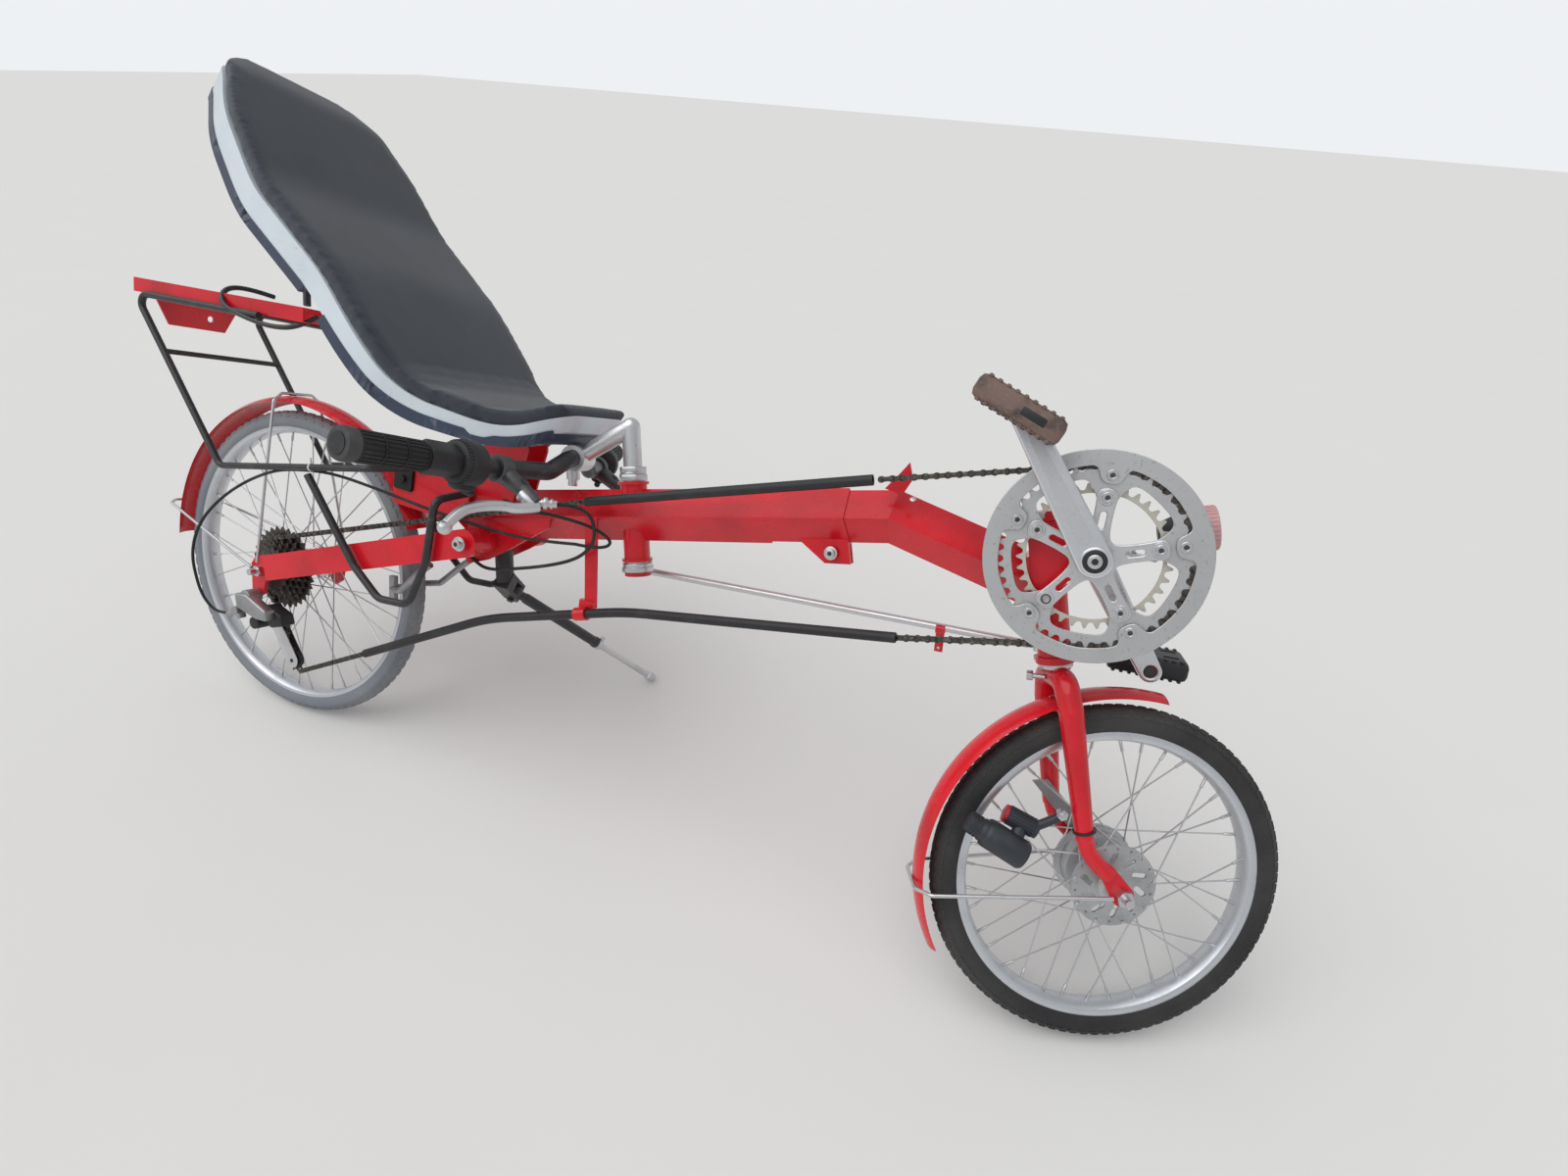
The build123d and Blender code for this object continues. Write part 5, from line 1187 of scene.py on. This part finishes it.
class RECUMBENT_OT_stand(bpy.types.Operator):
    """Build the side stand: black sleeve, clamp and plain lower tube"""

    bl_idname = "recumbent.stand"
    bl_label = "Side stand"

    sleeve_share = 0.54

    def execute(self, context):
        root, axis = joint_place("kickstand")
        far = farthest("stand_foot", root)
        reach = (far - root).length / MM
        here = facing(root, far) @ Matrix.Scale(MM, 4)
        half = reach * self.sleeve_share
        sleeve = spun([(AXIS, 16), (6, 17), (8, 22), (8.6, 26), (8.6, half - 6), (9.8, half - 5), (9.8, half),
                       (AXIS, half)], 36)
        hinge = moved(rod((0, 0, -8), (0, 0, 8), 12, 32, bevel=0.8), self.across(axis, here))
        neck = rod((0, 0, 2), (0, 0, 20), 7, 20)
        sleeve = moved(joined([sleeve, hinge, neck]), here)
        sleeve = kept(sleeve, "stand_sleeve", "kickstand", "black")
        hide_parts("stand_leg")
        tube = spun([(AXIS, half - 2), (5.6, half - 2), (5.6, reach - 20), (8.2, reach - 18),
                     (8.6, reach - 8), (7.5, reach - 2), (3.5, reach - 0.2), (AXIS, reach)], 32)
        foot = kept(moved(tube, here), "stand_tube", "kickstand", "alloy")
        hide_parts("stand_foot")
        screw = joined([rod((9, 0, half + 4), (16, 0, half + 4), 4, 6, bevel=0.4),
                        spun([(5.5, half), (9.4, half), (9.4, half + 9), (5.5, half + 9)], 28)])
        kept(moved(screw, here), "stand_clamp", "kickstand", "steel")
        return {"FINISHED"}

    def across(self, axis, here):
        """Turn that lays a rod along the hinge's axis in the stand's own frame."""
        local = here.to_3x3().inverted() @ axis
        return local.normalized().to_track_quat("Z", "Y").to_matrix().to_4x4()


class RECUMBENT_OT_lamp(bpy.types.Operator):
    """Detail the head lamp and the dynamo"""

    bl_idname = "recumbent.lamp"
    bl_label = "Lamp and dynamo"

    def execute(self, context):
        tilt = radians(21)
        back = Vector((1246, 0, 622))
        here = facing(back, back + Vector((cos(tilt), 0, sin(tilt))))
        shell = spun([(AXIS, 0), (9, 0.5), (13, 5), (18.5, 18), (22, 36), (23.2, 44), (22, 44), (17, 20),
                      (AXIS, 14)])
        shell = kept(moved(shell, here), "lamp_shell", "frame", "grey_plastic", BIKE)
        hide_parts("head_lamp")
        rim = spun([(21, 43), (23.6, 43), (24, 46), (24, 57), (22.6, 58), (21, 57)], 56)
        flutes = round_about(block((1.0, 2.2, 11), (24, 0, 51), 0.3), 32)
        kept(moved(joined([rim, flutes]), here), "lamp_rim", "frame", "blush", BIKE)
        glass = spun([(AXIS, 55), (21.4, 55), (21.4, 57), (14, 59.5), (AXIS, 60.5)])
        kept(moved(glass, here), "lamp_glass", "frame", "lens", BIKE)
        mirror = spun([(AXIS, 40), (8, 42), (20.8, 54.5), (20.8, 55), (8, 43), (AXIS, 41)], 40)
        kept(moved(mirror, here), "lamp_mirror", "frame", "alloy", BIKE)
        self.dynamo()
        return {"FINISHED"}

    def dynamo(self):
        """Bottle with its fluted roller, the yoke that holds it, its red end and its bolt."""
        cap, tail = Vector((1116, -46, 258)), Vector((1186, -56, 234))
        length = (tail - cap).length
        body = [spun([(AXIS, 0), (9, 0), (11.5, 1.5), (12, 4), (12, 17), (13.5, 19), (13.5, 22), (16, 24),
                      (17, 27), (17, length - 3), (15.5, length), (AXIS, length)], 40)]
        for ring in (6, 10, 14):
            body.append(spun([(11, ring - 1.2), (12.9, ring - 0.9), (12.9, ring + 0.9), (11, ring + 1.2)],
                             40))
        piece = moved(joined(body), facing(cap, tail))
        roller_start, roller_end = Vector((1160, -36, 272)), Vector((1200, -44, 262))
        ribs = round_about(block((1.4, 2.2, 32), (10.8, 0, 20), 0.4), 18)
        roller = moved(joined([rod((0, 0, 2), (0, 0, 40), 10.6, 32), ribs]), facing(roller_start, roller_end))
        yoke = joined([rod((1180, -40, 266), (1172, -54, 240), 8, 20, bevel=1),
                       bent_rod([(1194, -44, 266), (1206, -48, 276), (1222, -52, 292)], 5.4)])
        piece = kept(joined([piece, roller, yoke]), "dynamo_body", "fork", "grey_plastic",
                     FORKED)
        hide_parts("dynamo")
        end = moved(rod((0, 0, -1), (0, 0, 3), 10.4, 32, bevel=0.6), facing(roller_start, roller_end))
        kept(end, "dynamo_end", "fork", "red_plastic", FORKED)
        screw = joined([hexagon((1214, -58, 292), (1214, -63, 292), 6.4),
                        rod((1214, -50, 292), (1214, -66, 292), 3.2)])
        kept(screw, "dynamo_bolt", "fork", "steel", FORKED)


class RECUMBENT_OT_changer(bpy.types.Operator):
    """Build the rear gear changer: barrel, slanted body, cage and toothed wheels"""

    bl_idname = "recumbent.changer"
    bl_label = "Gear changer"

    chain_plane = -46
    top_wheel = (5, 166)
    low_wheel = (48, 108)

    def execute(self, context):
        silver = [
            rod((-4, -74, 212), (-4, -96, 212), 11, 32, bevel=1.2),
            self.slab([(-22, 214), (2, 218), (46, 202), (48, 186), (26, 184), (-16, 192)], -92, 17, 2.5),
            rod((-22, -84, 184), (-22, -100, 184), 7.5, 24, bevel=1),
            rod((-30, -92, 178), (-44, -93, 172), 4.2, 20, bevel=0.6),
            rod((-8, -92, 180), (-8, -103, 180), 4.6, 6, bevel=0.5),
        ]
        body = kept(joined(silver), "changer_body", "frame", "cast_grey", BIKE)
        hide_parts("rear_derailleur")
        # Black hexagon on the barrel's end, painted shade for its socket
        hollow = rod((-4, -96.2, 212), (-4, -96.6, 212), 5.4, 6)
        kept(hollow, "changer_socket_shade", "frame", "plastic", BIKE)
        knuckle = [self.slab([(26, 206), (60, 196), (66, 180), (40, 170), (24, 182)], -74, 24, 3),
                   rod((12, -92, 172), (12, -52, 172), 10, 28, bevel=1)]
        kept(joined(knuckle), "changer_knuckle", "frame", "plastic", BIKE)
        for side, finish, name in ((-1, "alloy", "outer"), (1, "grease", "inner")):
            cage = self.cage(self.chain_plane + side * 5.6)
            kept(cage, f"changer_cage_{name}", "frame", finish, BIKE)
        wheels = [self.toothed(x, z) for x, z in (self.top_wheel, self.low_wheel)]
        kept(joined(wheels), "changer_wheels", "frame", "plastic", BIKE)
        return {"FINISHED"}

    def slab(self, outline, y, thick, bevel):
        """Plate with an outline in the bicycle's own plane."""
        mesh = bmesh.new()
        corners = [mesh.verts.new((x, y - thick / 2, z)) for x, z in outline]
        face = mesh.faces.new(corners)
        risen = bmesh.ops.extrude_face_region(mesh, geom=[face])["geom"]
        far = [item for item in risen if isinstance(item, bmesh.types.BMVert)]
        bmesh.ops.translate(mesh, vec=(0, thick, 0), verts=far)
        bmesh.ops.recalc_face_normals(mesh, faces=mesh.faces)
        bpy.ops.mesh.primitive_plane_add(size=1)
        piece = bpy.context.object
        mesh.to_mesh(piece.data)
        mesh.free()
        return rounded(piece, bevel, 3)

    def cage(self, y):
        """Plate with a round end about each of the two toothed wheels."""
        top, low = (Vector((x, 0, z)) for x, z in (self.top_wheel, self.low_wheel))
        run = (low - top).normalized()
        side = Vector((run.z, 0, -run.x))
        rim = []
        for centre, reach, start in ((top, 10.5, 1), (low, 12.5, -1)):
            for step in range(ROUND_END + 1):
                angle = radians(-90 + step * 180 / ROUND_END)
                rim.append(centre + (side * sin(angle) - run * cos(angle)) * start * reach)
        outline = [(place.x, place.z) for place in rim]
        return self.slab(outline, y, 1.6, 0.4)

    def toothed(self, x, z):
        """Small toothed wheel on its pin."""
        disc = spun([(3, -2), (12, -2), (16, -1), (16, 1), (12, 2), (3, 2)], 36)
        tooth = block((4.5, 2.6, 1.6), (17.2, 0, 0), 0.4)
        wheel = joined([disc, round_about(tooth, 11), rod((0, 0, -7), (0, 0, 7), 3.4, 16, bevel=0.4)])
        return moved(wheel, rightward(x, self.chain_plane, z))


class RECUMBENT_OT_chainset(bpy.types.Operator):
    """Build the chain rings, their guard, the spider, its bolts, the cranks and the pedals"""

    bl_idname = "recumbent.chainset"
    bl_label = "Chain rings, cranks and pedals"

    hub = (BRACKET.x, BRACKET.z)
    arms = [166 + 72 * count for count in range(5)]
    open_hole = 1
    # Middles of the plates across the bicycle, all on the rider's right
    large_plane, small_plane, guard_plane, spider_plane = -47.6, -38.5, -52.5, -51.6
    # Radii on which the bolts of the small ring and of the large ring with its guard stand
    inner_circle, outer_circle = 65, 88.5

    def execute(self, context):
        hub, arms = self.hub, self.arms
        inner = [around(hub, self.inner_circle, angle) for angle in arms]
        web = self.mirrored([(54.5, 6.5), (64, 9.2), (75, 12), (85, 16.5), (85, 27)])
        big = flat_plate(self.large_plane, 3.0, teeth_line(hub, 48, 92.6, 100.0), [repeated(hub, arms, web)])
        big = kept(big, "large_ring", "crankset", "ring", BIKE)
        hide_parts("chainrings")
        lugs = self.mirrored([(58, 0), (60, 6), (70, 8), (70, 26)])
        small = flat_plate(self.small_plane, 2.2, teeth_line(hub, 38, 72.6, 79.6),
                           [repeated(hub, arms, lugs)])
        kept(small, "small_ring", "crankset", "cream_ring", BIKE)
        rim = self.mirrored([(78.8, 0), (82, 7.2), (95.5, 8.6), (99, 13), (99, 30)])
        guard = flat_plate(self.guard_plane, 3.0, circle(hub, 115, 144), [repeated(hub, arms, rim)],
                           bevel=0.7)
        guard = kept(guard, "guard_ring", "crankset", "ring", BIKE)
        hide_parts("chain_guard")
        self.spider(inner)
        self.bolts(inner)
        self.crank(-1, CRANK_ANGLE, "right")
        self.crank(1, CRANK_ANGLE + 180, "left")
        self.pedal(-1, around(hub, CRANK_LENGTH, CRANK_ANGLE), 20, "right")
        self.pedal(1, around(hub, CRANK_LENGTH, CRANK_ANGLE + 180), -5, "left")
        return {"FINISHED"}

    def mirrored(self, half):
        """Corners on both sides of an arm, each a radius and an angle, from those on one side."""
        far = [(radius, -angle) for radius, angle in reversed(half) if angle]
        return far + half

    def spider(self, inner):
        """Five-armed star with slots and a raised ring round each inner bolt hole."""
        hub, arms = self.hub, self.arms
        star = [(23, -36), *self.mirrored([(76.4, 0), (72, 9.2), (56, 9.6), (30, 19)])]
        holes = [slot_line(around(hub, 41, angle), angle, 19, 6.6) for angle in arms]
        holes += [circle(place, 4.2, 24) for place in inner]
        plate = flat_plate(self.spider_plane, 5.2, repeated(hub, arms, star), holes, bevel=1.1)
        raised = [(4.2, -1.2), (8.6, -1.2), (8.6, 0.2), (7.9, 0.9), (4.2, 0.9)]
        rings = [moved(spun(raised, 32), rightward(x, -54.4, z)) for x, z in inner]
        collar = rod((hub[0], -66, hub[1]), (hub[0], -49, hub[1]), 17.5, 48, 21)
        body = kept(joined([plate, collar, *rings]), "spider", "crankset", "alloy", BIKE)
        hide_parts("cranks")

    def bolts(self, inner):
        """Outer and inner ring bolts with a dark disc of painted shade in each socket, and one inner bolt
        missing from its hole, with a dark ring of painted shade round its mouth.
        """
        heads, hollows = [], []
        spots = [(around(self.hub, self.outer_circle, angle), -54.0) for angle in self.arms]
        spots += [(place, -55.2) for count, place in enumerate(inner) if count != self.open_hole]
        for (x, z), y in spots:
            seat = rightward(x, y, z)
            head = spun([(2.6, 0), (5.9, 0), (5.9, 1.2), (5.2, 1.8), (3.3, 1.8), (2.6, 1.2)], 32)
            # Dark disc at the bottom of each head's socket, painted shade
            core = spun([(AXIS, 0), (2.7, 0), (2.7, 0.9), (AXIS, 0.9)], 24)
            heads += [moved(head, seat), rod((x, y, z), (x, -37.4, z), 4.0, 20)]
            hollows.append(moved(core, seat))
        x, z = inner[self.open_hole]
        # Dark ring round the mouth of the empty hole, painted shade inside it
        mouth = spun([(4.2, 0), (5.6, 0), (5.6, 0.4), (4.2, 0.4)], 32)
        hollows.append(moved(mouth, rightward(x, -55.3, z)))
        body = kept(joined(heads), "ring_bolt_heads", "crankset", "steel", BIKE)
        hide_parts("ring_bolts")
        kept(joined(hollows), "ring_bolt_socket_shades", "crankset", "shadow_steel", BIKE)

    def crank(self, side, angle, name):
        """Arm with its flute, the ring round its bolt and the pedal's spindle."""
        hub, far = self.hub, around(self.hub, CRANK_LENGTH, angle)
        arm = flat_plate(side * 73, 14, hull_line(hub, 18.5, far, 13.5), [circle(far, 7)], bevel=2.6)
        flute = hull_line(around(hub, 27, angle), 7.5, around(hub, 146, angle), 5.5)
        groove = flat_plate(side * 80.1, 0.8, flute, bevel=0.3)
        pieces = [arm, rod((hub[0], side * 79.5, hub[1]), (hub[0], side * 82, hub[1]), 14.6, 48, bevel=0.8)]
        if side > 0:
            pieces.append(rod((hub[0], 0, hub[1]), (hub[0], 68, hub[1]), 8.5, 32))
        kept(joined(pieces), f"crank_arm_{name}", "crankset", "polished", BIKE)
        kept(groove, f"crank_flute_{name}", "crankset", "alloy", BIKE)
        ring = spun([(6.6, 0), (12.4, 0), (12.4, 0.9), (11.6, 1.5), (6.6, 1.5)])
        spot = Matrix.Translation((hub[0], side * 81.6, hub[1]))
        ring = moved(ring, spot @ Matrix.Rotation(radians(-90 * side), 4, "X"))
        kept(ring, f"crank_ring_{name}", "crankset", "plastic", BIKE)
        # The spindle's near-black steel is painted shade
        spindle = rod((far[0], side * 67, far[1]), (far[0], side * 92, far[1]), 6.8, 32)
        kept(spindle, f"pedal_spindle_{name}", "pedal_" + name, "shadow_steel", BIKE)

    def pedal(self, side, centre, tilt, name):
        """Resin block with toothed long edges, worn pale on its faces, and a dark block on its outer end as
        painted shade in a slot.
        """
        body = block((94, 78, 25), bevel=7)
        hollow = [block((19, 8, 60), (x, y, 0), 2.5) for x in (-27, 27) for y in (-17, 17)]
        for cutter in hollow:
            modified(body, "BOOLEAN", operation="DIFFERENCE", object=cutter, solver="EXACT")
            bpy.data.objects.remove(cutter)
        teeth = [block((4.2, 9, 3.4), (-38 + count * 9.5, edge * 33, face * 12.2), 1.1)
                 for face in (-1, 1) for edge in (-1, 1) for count in range(9)]
        # Dark block on the outer end, painted shade in the end slot
        slot = block((26, 3, 8.5), (16, side * 38.2, 0), 1.4)
        spot = Matrix.Translation((centre[0], side * 130, centre[1]))
        place = spot @ Matrix.Rotation(radians(tilt), 4, "Y")
        finish = "resin" if side < 0 else "plastic"
        body = moved(joined([body, *teeth]), place)
        body = kept(body, f"pedal_block_{name}", "pedal_" + name, finish, BIKE)
        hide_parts("pedal_" + name)
        kept(moved(slot, place), f"pedal_slot_shade_{name}", "pedal_" + name, "plastic", BIKE)


class RECUMBENT_OT_chain(bpy.types.Operator):
    """Put a pressed link with its pins in the place of every block of the plain chain"""

    bl_idname = "recumbent.chain"
    bl_label = "Chain links"

    # Width over which a solid link is an outer one, and the longest side that a solid link has
    wide = 6
    longest_side = 12.5

    def execute(self, context):
        outer, inner = self.link(3.2, 1.9, pins=True), self.link(2.2, 3.7, pins=False)
        pieces = []
        for place, wide in self.places():
            pattern = outer if wide else inner
            pieces.append(moved(linked("link", pattern.data.copy()), place))
        for pattern in (outer, inner):
            bpy.data.objects.remove(pattern)
        piece = kept(joined(pieces), "chain_links", "frame", "grease", BIKE)
        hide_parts("chain")
        return {"FINISHED"}

    def places(self):
        """Middle, slope and kind of every link of the solid chain, in the upright bicycle's frame."""
        back = BIKE.inverted()
        mesh = bmesh.new()
        mesh.from_mesh(frame["nodes"]["chain"].data)
        bmesh.ops.transform(mesh, matrix=back, verts=mesh.verts)
        bmesh.ops.remove_doubles(mesh, verts=mesh.verts, dist=0.01)
        left = dict.fromkeys(mesh.verts)
        found = []
        while left:
            island = [left.popitem()[0]]
            for vertex in island:
                for one in vertex.link_edges:
                    other = one.other_vert(vertex)
                    if other in left:
                        del left[other]
                        island.append(other)
            corners = [vertex.co for vertex in island]
            low, high = (Vector([pick(column) for column in zip(*corners)]) for pick in (min, max))
            longest = max((one for vertex in island for one in vertex.link_edges), key=self.flat)
            run = longest.verts[1].co - longest.verts[0].co
            slope = Matrix.Rotation(-atan2(run.z, run.x), 4, "Y")
            found.append((Matrix.Translation((low + high) / 2) @ slope, high.y - low.y > self.wide))
        mesh.free()
        return found

    def flat(self, edge):
        """Length of an edge that lies in the chain's plane and along one of its sides."""
        run = edge.verts[1].co - edge.verts[0].co
        return -1 if abs(run.y) > 0.1 or run.length > self.longest_side else run.length

    def link(self, offset, radius, pins):
        """One link along x: two round-ended plates with rollers or pins at its ends."""
        pieces = []
        half = offset + 1.0 if pins else offset - 0.6
        for x in (-PITCH / 2, PITCH / 2):
            pieces.append(rod((x, -half, 0), (x, half, 0), radius, 12))
            for y in (-offset, offset):
                pieces.append(rod((x, y - 0.5, 0), (x, y + 0.5, 0), 4.0, 14))
        pieces += [block((PITCH, 1.0, 5.6), (0, y, 0)) for y in (-offset, offset)]
        return joined(pieces)


class RECUMBENT_OT_cables(bpy.types.Operator):
    """Run the brake and gear cables in their housings"""

    bl_idname = "recumbent.cables"
    bl_label = "Cables"

    def execute(self, context):
        lever = self.to_frame((556, -134, 498))
        spout = self.to_frame((508, -172, 494))
        stop = (545, -40, 434)
        # name, diameter, a place whose presence keeps the cable off every body, route
        rows = [
            ("changer_cable", 4.4, None, [
                (-36, -92.4, 175.4), (-66, -94, 166), (-92, -98, 184), (-106, -100, 210), (-118, -102, 255),
                (-104, -102, 305), (-70, -99, 350), (-20, -95, 392), (40, -92, 425), (88, -90, 437),
                (150, -86, 446), (230, -78, 440), (318, -64, 428), (390, -52, 423), (452, -44, 421),
                (500, -40, 426), stop]),
            ("rear_brake_cable", 4.8, (568, -52, 436), [
                lever, (588, -118, 503), (600, -96, 492), (596, -74, 462), (578, -56, 436), (548, -44, 412),
                (500, -40, 390), (446, -44, 372), (410, -46, 362), (376, -34, 364), (350, -25, 372)]),
            ("gear_cable", 4.4, (600, -40, 452), [
                spout, (536, -138, 486), (562, -108, 482), (588, -72, 472), (602, -46, 456), (598, -40, 444),
                (574, -40, 436), stop]),
        ]
        for name, diameter, still, route in rows:
            self.cable(name, diameter * MM, still, [BIKE @ Vector(point) for point in route])
        return {"FINISHED"}

    def to_frame(self, place):
        """A place on the turned bar as the upright frame sees it."""
        return BIKE.inverted() @ BARRED @ Vector(place)

    def cable(self, name, diameter, still, points):
        curve = run_curve(name, points, bends=10)
        piece = linked(name, curve)
        line = bpy.data.meshes.new_from_object(piece)
        curve.bevel_depth = diameter / 2
        curve.bevel_resolution = 4
        piece = as_mesh(piece)
        bpy.ops.object.shade_smooth()
        piece.data.name = name
        piece.data.materials.clear()
        piece.data.materials.append(finishes["rubber"])
        if still:
            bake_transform(piece)
        else:
            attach(piece, "frame")


class RECUMBENT_OT_stage(bpy.types.Operator):
    """Set the floor, lamps and camera"""

    bl_idname = "recumbent.stage"
    bl_label = "Floor, lamps and camera"

    backdrop = 0.9
    # The camera's place from where the rear wheel stands, and its own axes, solved from the photograph
    stand = (1.1205, -0.5713, 0.9740)
    right = (0.92085, 0.38631, 0.05305)
    down = (0.26390, -0.51727, -0.81412)
    forward = (-0.28706, 0.76368, -0.57826)

    def execute(self, context):
        stage = context.scene.bicycle_stage
        low, high = cad_box
        below = 0.0005
        bpy.ops.mesh.primitive_plane_add(size=40, location=((low.x + high.x) / 2, 0, low.z - below))
        floor = context.object
        floor.name = "floor"
        shader = Shader("pale_floor", Roughness=0.9, Specular_IOR_Level=0.1)
        pale = tuple(stage.floor_tint)
        shader.feed(Base_Color=shader.mixed(pale, toned(pale, 0.97), shader.noise(3, 3)))
        floor.data.materials.append(shader.material)
        self.sun(stage.sun)
        context.scene.world = self.sky(stage.sky)
        context.scene.view_settings.view_transform = "Standard"
        self.camera(context, stage.lens)
        return {"FINISHED"}

    def sun(self, power):
        """One very wide lamp from above the right rear, as under a thin overcast."""
        bpy.ops.object.light_add(type="SUN", location=(0, 0, 3))
        lamp = bpy.context.object
        lamp.name = "soft_sun"
        lamp.data.energy = power
        lamp.data.angle = radians(70)
        lamp.rotation_euler = Vector((0.45, 0.35, -1)).to_track_quat("-Z", "Y").to_euler()

    def sky(self, strength):
        """Even light for the object, and a paler backdrop where the camera sees past it."""
        world = bpy.data.worlds.new("even_sky")
        world.use_nodes = True
        tree = world.node_tree
        background = tree.nodes["Background"]
        background.inputs["Color"].default_value = (0.95, 0.97, 1.0, 1)
        path = tree.nodes.new("ShaderNodeLightPath")
        seen = tree.nodes.new("ShaderNodeMath")
        seen.operation = "MULTIPLY_ADD"
        tree.links.new(path.outputs["Is Camera Ray"], seen.inputs[0])
        seen.inputs[1].default_value = self.backdrop - strength
        seen.inputs[2].default_value = strength
        tree.links.new(seen.outputs[0], background.inputs["Strength"])
        return world

    def camera(self, context, lens):
        """Stand where the photograph was taken: high on the right and behind the crank."""
        data = bpy.data.cameras.new("photo_camera")
        camera = linked("photo_camera", data)
        data.sensor_width = 36.0
        data.lens = lens
        data.clip_start = 0.01
        turn = Matrix((self.right, -Vector(self.down), -Vector(self.forward))).transposed().to_4x4()
        contact = BIKE @ Vector((0, 0, 0))
        camera.matrix_world = Matrix.Translation(contact + Vector(self.stand)) @ turn
        context.scene.camera = camera


class RECUMBENT_PT_panel(bpy.types.Panel):
    """The steps that dress the bicycle"""

    bl_idname = "RECUMBENT_PT_panel"
    bl_label = "Recumbent bicycle"
    bl_space_type = "VIEW_3D"
    bl_region_type = "UI"
    bl_category = "Recumbent"

    def draw(self, context):
        for step in STEPS:
            self.layout.operator(step.bl_idname)
        for name in GROUPS:
            group = getattr(context.scene, name)
            for setting in group.bl_rna.properties.keys():
                if setting not in ("rna_type", "name"):
                    self.layout.prop(group, setting)


STEPS = (
    RECUMBENT_OT_cad_finishes,
    RECUMBENT_OT_seat_pad,
    RECUMBENT_OT_seat_edge,
    RECUMBENT_OT_rims,
    RECUMBENT_OT_hub,
    RECUMBENT_OT_tyres,
    RECUMBENT_OT_spokes,
    RECUMBENT_OT_controls,
    RECUMBENT_OT_fittings,
    RECUMBENT_OT_stand,
    RECUMBENT_OT_lamp,
    RECUMBENT_OT_changer,
    RECUMBENT_OT_chainset,
    RECUMBENT_OT_chain,
    RECUMBENT_OT_cables,
    RECUMBENT_OT_stage,
)
GROUPS = {"bicycle_finishes": BicycleFinishes, "bicycle_sizes": BicycleSizes, "bicycle_stage": BicycleStage}


def register():
    for group in GROUPS.values():
        bpy.utils.register_class(group)
    for step in (*STEPS, RECUMBENT_PT_panel):
        bpy.utils.register_class(step)
    for name, group in GROUPS.items():
        setattr(bpy.types.Scene, name, PointerProperty(type=group))


def unregister():
    for name in GROUPS:
        delattr(bpy.types.Scene, name)
    for step in (RECUMBENT_PT_panel, *reversed(STEPS)):
        bpy.utils.unregister_class(step)
    for group in GROUPS.values():
        bpy.utils.unregister_class(group)


def main():
    register()
    for step in STEPS:
        prefix, name = step.bl_idname.split(".")
        getattr(getattr(bpy.ops, prefix), name)()


if __name__ == "__main__":
    main()
